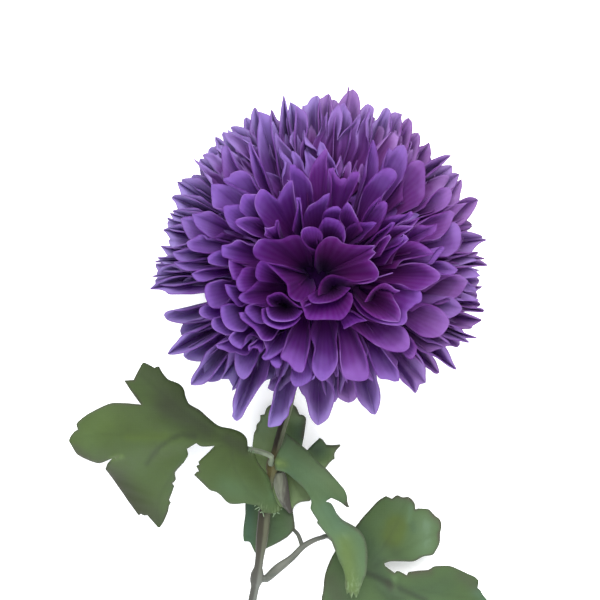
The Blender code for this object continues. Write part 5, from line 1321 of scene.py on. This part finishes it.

# outline holds the corners of the cut edge, ribs the raised lines, and the strokes the spray gun's uneven
# greens together with painted shade where lobes and folds turn from the light and painted highlights along
# folds and edges: the path and reach of each in millimetres, and what it adds to the tone, the brown and the
# blue.
# frayed holds where the edge has come undone: the middle, how far threads stand out and how far they show
LEAVES = {
    "leaf_left": {
        "outline": (
            (-83.8, -52.1), (-79.6, -51.8), (-78.7, -49.8), (-77.1, -46.7), (-75.8, -44.5),
            (-75.1, -44.4), (-72.6, -45.6), (-70.7, -46.7), (-69.9, -46.2), (-68.8, -46.2),
            (-67.2, -48.8), (-64.6, -51.6), (-62.0, -52.6), (-59.4, -53.9), (-57.9, -55.9),
            (-57.2, -58.5), (-55.6, -61.7), (-50.9, -64.5), (-46.9, -68.0), (-42.8, -71.0),
            (-37.1, -72.3), (-33.3, -73.9), (-31.0, -76.5), (-30.6, -81.6), (-28.0, -82.6),
            (-26.1, -86.9), (-22.7, -91.5), (-21.2, -94.6), (-20.0, -99.1), (-18.2, -104.1),
            (-16.4, -106.3), (-17.2, -107.6), (-19.5, -108.5), (-24.2, -108.0), (-25.3, -106.2),
            (-26.2, -105.0), (-31.0, -104.1), (-31.8, -103.8), (-38.3, -104.2), (-42.1, -100.7),
            (-44.0, -99.4), (-46.7, -98.7), (-48.6, -97.0), (-53.5, -92.1), (-52.4, -90.8),
            (-51.4, -90.5), (-52.5, -88.2), (-51.2, -87.6), (-51.6, -86.3), (-47.7, -82.6),
            (-44.7, -79.5), (-49.4, -79.8), (-51.1, -79.3), (-52.4, -78.3), (-56.5, -80.8),
            (-56.0, -83.4), (-57.7, -86.5), (-61.8, -91.4), (-61.6, -94.5), (-63.2, -96.2),
            (-62.4, -97.5), (-63.7, -101.1), (-64.8, -104.0), (-64.2, -105.2), (-64.9, -106.3),
            (-65.6, -109.1), (-66.3, -110.9), (-67.8, -114.1), (-69.4, -116.6), (-70.2, -116.7),
            (-74.6, -111.0), (-76.0, -111.2), (-77.5, -110.5), (-78.5, -111.3), (-81.5, -107.2),
            (-87.0, -99.7), (-92.8, -90.9), (-91.7, -88.5), (-89.0, -85.8), (-86.5, -84.6),
            (-91.2, -86.6), (-93.6, -87.7), (-95.3, -88.2), (-97.7, -87.8), (-101.6, -86.3),
            (-105.1, -84.3), (-107.0, -81.3), (-108.6, -78.6), (-107.8, -76.7), (-105.9, -74.4),
            (-104.4, -73.6), (-105.1, -71.4), (-104.5, -70.4), (-100.5, -67.2), (-93.7, -63.6),
            (-89.4, -62.0), (-82.7, -61.9), (-76.3, -62.4), (-79.1, -58.8), (-81.5, -55.6),
        ),
        "ribs": (
            ((-38, -78, 27), (-58, -65, 25), (-77, -49, 19)),
            ((-38, -78, 27), (-69, -75, 28), (-91, -75, 19), (-108, -78, 8)),
            ((-38, -78, 27), (-58, -87, 24), (-69, -103, 12), (-70, -116, 4)),
            ((-38, -78, 27), (-35, -92, 29), (-26, -103, 26), (-21, -109, 23)),
        ),
        "arch": 0.02,
        "stalk": (
            (-20.6, -84.6, 21), (-24.6, -82.6, 22), (-30, -81.2, 22.8), (-36, -79.6, 23.8), (-42, -78, 24.6),
        ),
        "stalk_radius": 1.25 * MM,
        "from": "stem",
        "frayed": ((-25, -106, 3.2, 2), (-17.6, -107, 2.8, 2.4), (-29, -82, 1.4, 1)),
        "spray_and_shading": (
            (((-72.6, -48.4), (-63.0, -58.5)), 8.4, -0.08, 0.12, 0.1),
            (((-65.5, -62.8), (-49.2, -72.0)), 5.0, -0.16, 0.22, 0.1),
            (((-107.2, -78.7), (-92.4, -70.8)), 7.1, 0.14, 0, 0),
            (((-81.7, -76.0), (-65.2, -75.2)), 1.9, 0.08, 0, -0.2),
            (
                (
                    (-53.1, -75.2), (-58.2, -74.5), (-63.4, -76.7),
                    (-68.0, -80.1), (-71.6, -84.0), (-73.9, -87.6),
                ),
                1.1, -0.17, 0, 0,
            ),
            (((-58.4, -76.1), (-63.1, -78.2), (-67.5, -81.8)), 1.1, 0.06, 0, 0),
            (((-94.4, -91.5), (-78.1, -112.5)), 4.2, -0.2, 0.5, 0),
            (((-86.6, -94.9), (-70.5, -112.3)), 5.0, -0.12, 0.2, 0),
            (((-56.9, -84.0), (-63.4, -99.2)), 2.5, 0, 0, 0.2),
            (((-39.8, -97.4), (-22.0, -102.7)), 6.3, 0.08, 0, 0.4),
            (((-38.9, -76.1), (-31.3, -80.9)), 2.9, -0.12, 0.2, 0.1),
            (((-89.3, -85.8), (-84.7, -84.5)), 1.1, 0.3, 0, 0),
            (((-24.6, -89.9), (-19.9, -101.9)), 1.3, 0.1, 0, 0.2),
            (((-100.2, -86.0), (-105.9, -81.3)), 2.1, -0.1, 0.4, 0),
        ),
        "tone": 0.4,
        "blue": -0.2,
    },
    "leaf_right": {
        "outline": (
            (-18.7, -90.2), (-19.2, -86.4), (-16.4, -79.9), (-14.4, -74.6), (-7.5, -80.0), (-5.6, -81.7),
            (0.2, -87.2), (2.9, -89.5), (8.1, -95.4), (10.7, -98.8), (11.7, -101.6), (11.9, -104.0),
            (12.8, -106.4), (11.5, -106.2), (8.5, -103.8), (4.8, -101.9), (3.9, -102.4), (2.5, -103.2),
            (4.5, -104.0), (5.8, -105.8), (7.2, -108.6), (9.9, -111.6), (15.3, -114.8), (18.3, -117.8),
            (20.0, -122.6), (20.3, -128.2), (19.8, -134.1), (18.3, -138.4), (16.5, -143.6),
            (15.6, -145.4), (14.5, -142.9), (13.7, -145.6), (12.6, -142.7), (11.8, -143.7),
            (10.9, -140.1), (10.9, -136.1), (9.9, -132.1), (8.0, -128.1), (6.6, -124.2), (4.5, -119.1),
            (2.2, -116.4), (-1.2, -112.2), (-0.9, -111.1), (-1.5, -110.2), (-3.9, -106.1), (-3.6, -103.4),
            (-4.6, -100.3), (-6.9, -97.4), (-11.1, -93.7), (-14.4, -91.2),
        ),
        "ribs": (
            ((-14, -86, 22), (-4, -91, 26), (4, -97, 25), (13, -108, 17)),
            ((-14, -86, 22), (-4, -98, 27), (5, -113, 27), (15, -128, 24), (16, -147, 17)),
        ),
        "arch": 0.03,
        "stalk": ((-16.5, -87.5, 19.5), (-13, -88.4, 20.6), (-8, -91, 22.2)),
        "stalk_radius": 1.1 * MM,
        "from": "stem",
        "frayed": ((13.6, -146, 0, 9),),
        "spray_and_shading": (
            (((-19.1, -86.4), (-15.7, -88.0)), 2.1, 0.16, 0, -0.6),
            (((-10.1, -79.6), (8.7, -99.5)), 3.4, 0.04, 0.15, -0.1),
            (((10.3, -119.6), (13.9, -141.8)), 4.2, 0.07, 0, -0.5),
            (((2.6, -105.9), (10.3, -116.2)), 3.8, 0.04, 0, 0.25),
            (((-16.1, -88.4), (-10.1, -93.8)), 1.1, -0.12, 0, 0.2),
            (((11.7, -104.5), (12.6, -106.3)), 1.3, -0.1, 0.7, 0),
        ),
        "tone": 0.67,
        "blue": 0.34,
    },
    "leaf_back": {
        "outline": (
            (-29.1, -82.2), (-28.8, -78.9), (-28.3, -75.3), (-27.5, -73.9), (-27.2, -71.7),
            (-25.8, -70.1), (-25.7, -67.7), (-23.8, -67.3), (-23.0, -64.8), (-21.5, -63.4),
            (-16.2, -62.0), (-11.2, -63.3), (-9.9, -64.5), (-8.7, -67.4), (-6.9, -67.8), (-5.8, -69.1),
            (-6.0, -72.0), (-6.7, -76.9), (-7.5, -80.8), (-5.2, -82.7), (-2.5, -79.9), (0.1, -77.5),
            (1.2, -78.0), (3.1, -80.5), (5.9, -80.6), (9.1, -80.3), (9.2, -81.0), (7.5, -82.8),
            (6.6, -84.5), (6.7, -86.5), (5.1, -87.7), (2.9, -90.3), (0.3, -95.7), (-4.2, -104.8),
            (-7.9, -105.1), (-10.2, -106.3), (-11.3, -108.0), (-19.3, -106.6), (-26.6, -100.1),
            (-28.8, -90.4),
        ),
        "ribs": (
            ((-19, -85, 10), (-18, -74, 7), (-17, -61, 4)),
            ((-19, -85, 10), (-8, -84, 8.5), (6, -81, 6)),
            ((-19, -85, 10), (-12, -94, 9.5), (-7, -103, 9)),
        ),
        "arch": 0.012,
        "stalk": ((-20, -87.5, 12.6), (-19.5, -86, 11.2), (-18.5, -82, 8.2)),
        "stalk_radius": 1.1 * MM,
        "from": "stem",
        "frayed": (),
        "spray_and_shading": (
            (((-24.9, -69.7), (-24.9, -80.4)), 3.8, 0.02, 0, 0.15),
            (((-22.3, -63.7), (-8.4, -66.4)), 2.1, 0.04, 0.5, 0),
            (((-6.7, -69.8), (-7.1, -76.6)), 1.3, -0.03, 0.5, 0),
            (((4.6, -78.4), (8.1, -81.0)), 2.9, -0.1, 0.55, 0),
            (((-8.4, -91.2), (-0.6, -102.6)), 6.7, -0.16, 0.35, 0),
            (((-13.6, -78.3), (-12.7, -71.9)), 2.5, -0.12, 0, 0),
            (((-0.6, -84.9), (3.8, -86.2)), 3.4, -0.14, 0, 0),
            (((-7, -76), (-1, -82)), 5, -0.4, 0.15, 0.7),
        ),
        # The high tone of this leaf is painted light that lifts the shade of the bloom above it.
        "tone": 0.95,
        "blue": -0.1,
    },
    "shoot_leaf_small": {
        "outline": (
            (-31.8, -104.8), (-32.2, -111.2), (-33.0, -116.7), (-33.2, -120.6), (-32.9, -122.9),
            (-30.8, -123.0), (-30.0, -123.5), (-28.1, -127.6), (-26.7, -128.7), (-24.2, -126.8),
            (-22.6, -125.5), (-17.6, -122.8), (-13.7, -120.2), (-11.4, -117.6), (-10.6, -116.2),
            (-11.1, -111.6), (-11.5, -108.6), (-10.6, -105.5), (-12.3, -101.2), (-17.1, -97.8),
            (-22.4, -96.9), (-28.0, -100.4),
        ),
        "ribs": (
            ((-14, -115, 8.2), (-20, -107, 5.6), (-26, -99, 3)),
            ((-14, -115, 8.2), (-22, -117, 6), (-31, -121, 2.6)),
        ),
        "arch": 0.01,
        "stalk": ((-14, -114.6, 5.4), (-18, -112.5, 4.2)),
        "stalk_radius": 0.9 * MM,
        "from": FORK_ROUTE,
        "frayed": (),
        "spray_and_shading": (
            (((-31.1, -107.0), (-30.2, -122.3)), 3.4, -0.06, 0, 0.6),
            (((-22.3, -113.3), (-19.3, -122.0)), 4.2, -0.02, 0.1, 0.2),
            (((-13.2, -106.7), (-11.9, -116.6)), 2.5, 0.0, 0.35, 0.1),
            (((-22.3, -104.7), (-25.0, -126.6)), 2.5, -0.2, 0.5, 0),
        ),
        "tone": 0.62,
        "blue": 0.25,
    },
    "shoot_leaf_large": {
        "outline": (
            (8.9, -123.2), (15.6, -115.9), (18.7, -111.9), (21.7, -108.6), (24.9, -105.1), (26.8, -103.6),
            (28.9, -102.4), (31.4, -103.5), (33.1, -102.1), (33.9, -101.9), (36.0, -102.8),
            (38.3, -102.6), (40.2, -104.0), (41.2, -105.7), (41.4, -108.1), (42.6, -107.7),
            (47.3, -108.2), (48.8, -109.6), (50.0, -110.9), (52.2, -112.7), (52.8, -115.4),
            (52.2, -118.4), (51.9, -122.8), (50.3, -125.9), (49.0, -127.7), (44.8, -128.3),
            (40.7, -130.3), (35.6, -130.3), (30.5, -130.3), (28.0, -131.2), (28.4, -132.4),
            (32.5, -135.4), (33.4, -134.6), (34.4, -134.7), (37.7, -136.5), (38.5, -135.1),
            (42.6, -134.6), (47.3, -134.3), (49.6, -133.0), (52.3, -132.8), (56.8, -133.1),
            (63.8, -136.3), (67.8, -138.2), (69.3, -139.7), (68.8, -142.8), (70.1, -143.9),
            (70.7, -145.2),
            (73, -148), (72, -151), (68, -153.5), (66, -153), (60, -157), (55, -156.4), (50, -157),
            (53, -160), (54, -164), (51, -166), (50.6, -169), (48, -171), (43, -171.6), (39, -170),
            (34, -165.6), (31, -163), (27, -165), (24, -166), (21, -170.5), (19.6, -170), (18, -173.6),
            (14, -174.4), (11, -173), (9, -169.4), (5, -166), (4.4, -162), (2.8, -159), (2, -154), (1, -148),
            (1.7, -143.4), (2.4, -136.9), (4.4, -131.0), (6.7, -126.5),
        ),
        "ribs": (
            ((19, -135, 12), (30, -120, 14), (37, -105, 11)),
            ((19, -135, 12), (38, -124, 13.5), (51, -118, 10)),
            ((19, -135, 12), (45, -143, 11), (72, -148, 5)),
            ((19, -135, 12), (34, -152, 8.5), (46, -169, 3)),
            ((19, -135, 12), (12, -150, 8), (12, -171, 2.4)),
        ),
        "arch": 0.012,
        "stalk": ((6.4, -121.4, 11.9), (13, -128, 10.8), (22, -137, 9.6)),
        "stalk_radius": 1.1 * MM,
        "from": SHOOT_ROUTE,
        "frayed": (),
        "spray_and_shading": (
            (((16.7, -117.1), (24.4, -129.7)), 4.2, -0.13, 0, 0.15),
            (((32.1, -119.3), (33.0, -115.0)), 3.8, 0, 0.06, -1.2),
            (((46.1, -113.6), (46.9, -123.9)), 5.5, 0.26, 0.1, 0.15),
            (((39.6, -106.6), (38.2, -113.0)), 1.2, 0.12, 0, 0.2),
            (((40.0, -114.3), (40.4, -116.5)), 1.7, -0.08, 0, 0.2),
            (((29.5, -123.1), (35.6, -129.7)), 3.4, -0.12, 0, 0),
            (((25.3, -135.9), (33.2, -147.5)), 4.6, -0.18, 0, 0.1),
            (((20.1, -135.0), (34.8, -142.0), (45.7, -147.4)), 1.3, -0.22, 0.1, 0),
            (((21.0, -138.1), (34.0, -145.2)), 1.4, 0.05, 0, 0),
            (((32.2, -137.2), (32.6, -142.0)), 1.3, 0.24, 0, 0),
            (((29.6, -139.8), (30.9, -142.1)), 1.7, -0.12, 0.4, 0),
            (((4.6, -138.9), (8.9, -149.4)), 4.6, -0.14, 0.35, 0),
            (((40.0, -136.0), (47.9, -135.3)), 1.7, -0.05, 0.5, 0),
            (((62.0, -136.7), (68.1, -141.9)), 2.9, -0.04, 0.4, 0.1),
            (((69.0, -144.5), (72.5, -148.1)), 2.9, 0.1, 0, 0.5),
            (((54.8, -141.1), (43.4, -142.9)), 5.0, -0.06, 0, 0.15),
            (((33.1, -102.3), (40.9, -104.0)), 1.7, 0.0, 0.45, 0.1),
            (((47.9, -109.4), (52.2, -114.5)), 1.3, 0.0, 0.5, 0),
            (((51.7, -118.8), (52.2, -123.6)), 1.1, 0, 0.6, 0),
        ),
        "tone": 0.5,
        "blue": 0.15,
    },
}


def area(points):
    return sum(a.x * b.y - b.x * a.y for a, b in zip(points, points[1:] + points[:1])) / 2


def inside(point, edge):
    crossings = False
    for a, b in zip(edge, edge[1:] + edge[:1]):
        if (a.y > point.y) != (b.y > point.y):
            if point.x < a.x + (point.y - a.y) * (b.x - a.x) / (b.y - a.y):
                crossings = not crossings
    return crossings


def beside(point, path):
    """How far off a path a point is, the path's height there and how far along the path that is."""
    best = (1, 0, 0)
    walked = 0
    for a, b in zip(path, path[1:]):
        flat_a = a.to_2d()
        run = b.to_2d() - flat_a
        t = min(1, max(0, (point - flat_a).dot(run) / run.length_squared))
        off = (flat_a + run * t - point).length
        if off < best[0]:
            best = (off, a.z + (b.z - a.z) * t, walked + run.length * t)
        walked += run.length
    return best


def leaf_height(point, ribs, arch):
    """Height of the pressed sheet, and how deep it lies in a vein, from 0 to 1."""
    total = weights = vein = 0
    closest = 1
    for rib in ribs:
        off, level, walked = beside(point, rib)
        weight = 1 / (off + 2 * MM) ** 3
        total += weight * (level - arch / MM * off**2)
        weights += weight
        vein = max(vein, math.exp(-((off / (0.75 * MM)) ** 2)))
        if off < closest:
            closest = off
            slant = (walked - 1.1 * off) / (7 * MM)
            side = abs(slant - round(slant)) * 7 * MM
            branch = 0.55 * math.exp(-((side / (0.5 * MM)) ** 2)) * math.exp(-off / (11 * MM))
    return max(total / weights, 1.2 * MM), max(vein, branch)


def spray_and_shade_at(point, strokes):
    """What all strokes add to the tone, the brown and the blue at a point: the spray gun's uneven greens,
    painted shade and painted highlights.
    """
    total = [0.0, 0.0, 0.0]
    for path, reach, *shares in strokes:
        strength = math.exp(-((beside(point, path)[0] / (reach * MM)) ** 2))
        total = [so_far + strength * share for so_far, share in zip(total, shares)]
    return total


def leaf_sheet(name, leaf):
    """A leaf's middle surface, with its veins, the distance to its cut edge and its colours."""
    ribs = [smooth_path(from_mm(rib), 3 * MM) for rib in leaf["ribs"]]
    strokes = [([place.to_3d() for place in from_mm(path)], *rest) for path, *rest in leaf["spray_and_shading"]]
    edge = cut_edge(from_mm(leaf["outline"]), EDGE_STEP, SHARP_CORNER)
    if area(edge) < 0:
        edge.reverse()
    cut = kdtree.KDTree(len(edge))
    for i, point in enumerate(edge):
        cut.insert(point.to_3d(), i)
    cut.balance()
    low = Vector((min(p.x for p in edge), min(p.y for p in edge)))
    high = Vector((max(p.x for p in edge), max(p.y for p in edge)))
    inner = []
    row_step = GRID_STEP * math.sqrt(0.75)
    for row in range(int((high.y - low.y) / row_step) + 1):
        for column in range(int((high.x - low.x) / GRID_STEP) + 1):
            point = low + Vector(((column + 0.5 * (row % 2)) * GRID_STEP, row * row_step))
            if cut.find(point.to_3d())[2] > 0.6 * GRID_STEP and inside(point, edge):
                inner.append(point)
    loop = [(i, (i + 1) % len(edge)) for i in range(len(edge))]
    flat, _, faces = geometry.delaunay_2d_cdt(edge + inner, loop, [], 1, 1e-7)[:3]
    points, veins, margins, tones, browns, blues, bares = [], [], [], [], [], [], []
    for point in flat:
        height, vein = leaf_height(point, ribs, leaf["arch"])
        tone, brown, blue = spray_and_shade_at(point, strokes)
        points.append(Vector((*point, height - 0.2 * MM * vein + 1.6 * MM * tone)))
        veins.append(float(vein))
        margins.append(cut.find(point.to_3d())[2] / MM)
        tones.append(leaf["tone"] + tone)
        browns.append(brown)
        blues.append(leaf["blue"] + blue)
        bare = 0.0
        for x, y, _, reach in leaf["frayed"]:
            bare += math.exp(-(((point / MM - Vector((x, y))).length / reach) ** 2))
        bares.append(bare)
    faces = [tuple(face) for face in faces]
    values = {"vein": veins, "margin": margins, "tone": tones, "brown": browns, "blue": blues, "bare": bares}
    return new_mesh(name, points, [], faces, **values), edge


def carry_on(route):
    """Two points that lead out of the end of a stalk."""
    before, end = route[-2:]
    way = (end - before).normalized()
    return [end + way * lift for lift in (-0.8 * MM, 1.3 * MM)]


cloth = Finish("leaf_cloth")
vein, margin = cloth.attribute("vein"), cloth.attribute("margin")
clouds = cloth.noise(22 * MM, 3)
spray = cloth.noise(4 * MM, 4)
tone = cloth.attribute("tone") + (clouds - 0.5) * 0.22 + (spray - 0.5) * 0.08 - vein * 0.05
green = cloth.ramp(
    tone,
    (0, (0.009, 0.015, 0.005)),
    (0.25, (0.016, 0.028, 0.009)),
    (0.5, (0.029, 0.052, 0.015)),
    (0.75, (0.046, 0.078, 0.026)),
    (1, (0.112, 0.168, 0.082)),
)
blue = (cloth.attribute("blue") + (clouds - 0.5) * 0.5).between(-0.6, 1.4)
yellow_green = cloth.mix(1, green, (1.08, 0.98, 0.55), "MULTIPLY")
blue_green = cloth.mix(1, green, (0.86, 1.06, 2.3), "MULTIPLY")
colour = cloth.mix(blue, yellow_green, blue_green)
edge_brown = (1 - (margin + (spray - 0.5) * 1.6).between(0.1, 1.6)) * clouds.between(0.44, 0.58)
brown = (cloth.attribute("brown") + edge_brown * 0.55).math("MINIMUM", 0.9)
colour = cloth.mix(brown, colour, cloth.mix(tone, (0.016, 0.0155, 0.008), (0.052, 0.053, 0.034)))
threads = cloth.noise(0.9 * MM, 2, (1, 0.05, 1))
colour = cloth.mix(threads.between(0.45, 0.7) * cloth.attribute("bare") * 0.6, colour, (0.12, 0.165, 0.085))
x, y, z = cloth.parts(cloth.place())
pitch = 2 * math.pi / (0.7 * MM)
weave = ((x * pitch).math("SINE") * 0.5 + 0.5) * ((y * pitch).math("SINE") * 0.5 + 0.5)
colour = cloth.mix(weave * 0.012, colour, (0.2, 0.26, 0.15))
relief = weave * 0.5 + spray * 0.5
leaf_material = cloth.coat(colour, 0.68 + spray * 0.15, relief, 0.06 * MM, Specular_IOR_Level=0.22)

sheath_skin = Finish("dry_sheath")
x, y, z = sheath_skin.parts(sheath_skin.place())
streaks = sheath_skin.noise(1.1 * MM, 3, (1, 0.12, 1))
# Pale to the left and dark to the right, a painted highlight and painted shade across the roll; also darker
# towards the lower end and in streaks.
faded = (sheath_skin.attribute("side") * 0.6 + streaks - (y / MM) * 0.06).between(0.6, 1.6)
colour = sheath_skin.mix(faded, (0.115, 0.125, 0.085), (0.018, 0.015, 0.009))
sheath_material = sheath_skin.coat(colour, 0.6 + streaks * 0.2, streaks, 0.15 * MM)
sheath_route, sheath_radii = tapered(from_mm(SHEATH_ROUTE), [r * MM for r in (2.2, 3, 3, 2.2, 0.8)])
sheath = chain("leaf_back_sheath", (sheath_route, sheath_radii))
sheath = stalk.make(sheath, Ribs=5, Depth=0.08, Finish=sheath_material)
mark_sides(sheath, sheath_route, 3 * MM)
fasten(sheath, "leaves", "leaf_back")

stalk_skin = Finish("leaf_stalk_plastic")
grain = stalk_skin.noise(0.8 * MM, 3, (0.25, 1, 1))
patches = stalk_skin.noise(5 * MM)
colour = stalk_skin.mix(patches.between(0.35, 0.65), (0.066, 0.084, 0.050), (0.115, 0.135, 0.088))
stalk_material = stalk_skin.coat(colour, 0.5 + grain * 0.25, grain, 0.1 * MM, Specular_IOR_Level=0.35)

frayed = []
fray = random.Random(11)
for name, leaf in LEAVES.items():
    mesh, edge = leaf_sheet(name + "_cloth", leaf)
    mesh.materials.append(leaf_material)
    mesh.shade_smooth()
    cloth_piece = new_piece(name + "_cloth", mesh)
    thicken(cloth_piece, LEAF_THICKNESS)
    fasten(cloth_piece, "leaves", name)
    route = from_mm(leaf["stalk"])
    if leaf["from"] == "stem":
        route = seat_on(LEAF_RING, route[0]) + route
        skin = stalk_material
    else:
        route = carry_on(from_mm(leaf["from"])) + route
        skin = shoot_material
    radii = [leaf["stalk_radius"] * (1 - 0.25 * i / len(route)) for i in range(len(route))]
    stalk_piece = chain(name + "_stalk", tapered(route, radii))
    stalk_piece = stalk.make(stalk_piece, Ribs=5, Depth=0.05, Finish=skin)
    fasten(stalk_piece, "leaves", name)
    ribs = [smooth_path(from_mm(rib), 3 * MM) for rib in leaf["ribs"]]
    for x, y, radius, _ in leaf["frayed"]:
        centre = Vector((x, y)) * MM
        for i, point in enumerate(edge):
            if (point - centre).length < radius * MM and fray.random() < 0.55:
                way = (edge[(i + 1) % len(edge)] - edge[i - 1]).normalized()
                height = leaf_height(point, ribs, leaf["arch"])[0]
                frayed.append((Vector((*point, height)), math.atan2(-way.x, way.y)))


# Frayed threads. Where a cut tip has come undone, short ends of the cloth's threads stand out of the
# edge. They are single bare fibres, paler than the sprayed face.

THREAD_LENGTH = 1.3 * MM
THREAD_RADIUS = 0.22 * MM

thread_cloth = Finish("bare_thread")
grain = thread_cloth.noise(0.6 * MM)
colour = thread_cloth.mix(grain.between(0.3, 0.7), (0.05, 0.085, 0.04), (0.13, 0.18, 0.10))
thread_material = thread_cloth.coat(colour, 0.8 + grain * 0.1, grain, 0.02 * MM)

points, faces = [], []
for row, (along, lift, thick) in enumerate(((-0.4, 0, 1), (0.2, 0.04, 1), (0.7, 0.02, 0.8), (1, -0.08, 0.4))):
    for n in range(4):
        turn = math.pi / 2 * n
        side, rise = math.cos(turn) * THREAD_RADIUS * thick, math.sin(turn) * THREAD_RADIUS * thick
        points.append(Vector((along * THREAD_LENGTH, side, lift * THREAD_LENGTH + rise)))
        if row:
            m = (n + 1) % 4
            faces.append((row * 4 - 4 + n, row * 4 - 4 + m, row * 4 + m, row * 4 + n))
faces += [(3, 2, 1, 0), (12, 13, 14, 15)]
thread_kind = group_of("thread_kinds", [new_piece("thread", new_mesh("thread", points, [], faces))])
turns, sizes = [], []
for place, azimuth in frayed:
    turns.append(Vector((0, fray.uniform(-0.3, 0.3), azimuth + fray.uniform(-1, 1))))
    sizes.append(Vector((fray.uniform(0.5, 2), 1, 1)))
mesh = new_mesh(
    "frayed_threads", [place for place, azimuth in frayed], [], [],
    turned=turns, size=sizes, kind=[0] * len(frayed),
)
threads = planted.make(
    new_piece("frayed_threads", mesh),
    Kinds=thread_kind, Ripple=0.0, Ripple_size=10 * MM, Table_gap=0.25 * MM, Finish=thread_material,
)
clear_group(thread_kind)
fasten(threads, "leaves")


# Table, light and camera. The flower lies on an opal white table that is lit from below, in a bright
# white room. A large soft lamp hangs behind the bloom's upper edge, a smaller one stands low before the
# stem, and the camera looks straight down.

CAMERA_PLACE = Vector((-8.4 * MM, -17.6 * MM, 0.894)) - FOOTPRINT_CENTRE
VIEW_ANGLE = math.radians(16.7)

table_mesh = new_mesh("table", [(-3, -3, 0), (3, -3, 0), (3, 3, 0), (-3, 3, 0)], [], [(0, 1, 2, 3)])
table = new_piece("table", table_mesh)
white = Finish("table_white")
speckle = white.noise(30 * MM)
glow = {"Emission_Color": (1, 1, 1), "Emission_Strength": 0.3}
table_colour = white.mix(speckle, (0.86, 0.86, 0.86), (0.88, 0.88, 0.88))
table.data.materials.append(white.coat(table_colour, 0.8 + speckle * 0.1, speckle, 0.02 * MM, **glow))


def hang_lamp(name, size, energy, colour, place, aim):
    """A round soft lamp that faces a point."""
    lamp = bpy.data.lights.new(name, "AREA")
    lamp.shape = "DISK"
    lamp.size = size
    lamp.energy = energy
    lamp.color = colour
    hung = new_piece(name, lamp)
    hung.location = place
    hung.rotation_euler = (aim - hung.location).to_track_quat("-Z", "Y").to_euler()


hang_lamp("soft_lamp", 1.2, 33.5, (1, 1, 1), (0.1, 0.75, 1.15), Vector((0, 0.08, 0.03)))
hang_lamp("low_lamp", 0.8, 18, (0.86, 0.9, 1), (-0.05, -1.15, 0.3), Vector((0, 0.08, 0.05)))

room = bpy.data.worlds.new("white_room")
room.use_nodes = True
room.node_tree.nodes["Background"].inputs["Color"].default_value = (0.96, 0.98, 1, 1)
room.node_tree.nodes["Background"].inputs["Strength"].default_value = 1.75
bpy.context.scene.world = room
bpy.context.scene.view_settings.view_transform = "Standard"

camera = bpy.data.cameras.new("camera")
camera.angle = VIEW_ANGLE
camera.clip_start = 0.05
camera_object = new_piece("camera", camera)
camera_object.location = CAMERA_PLACE
bpy.context.scene.camera = camera_object
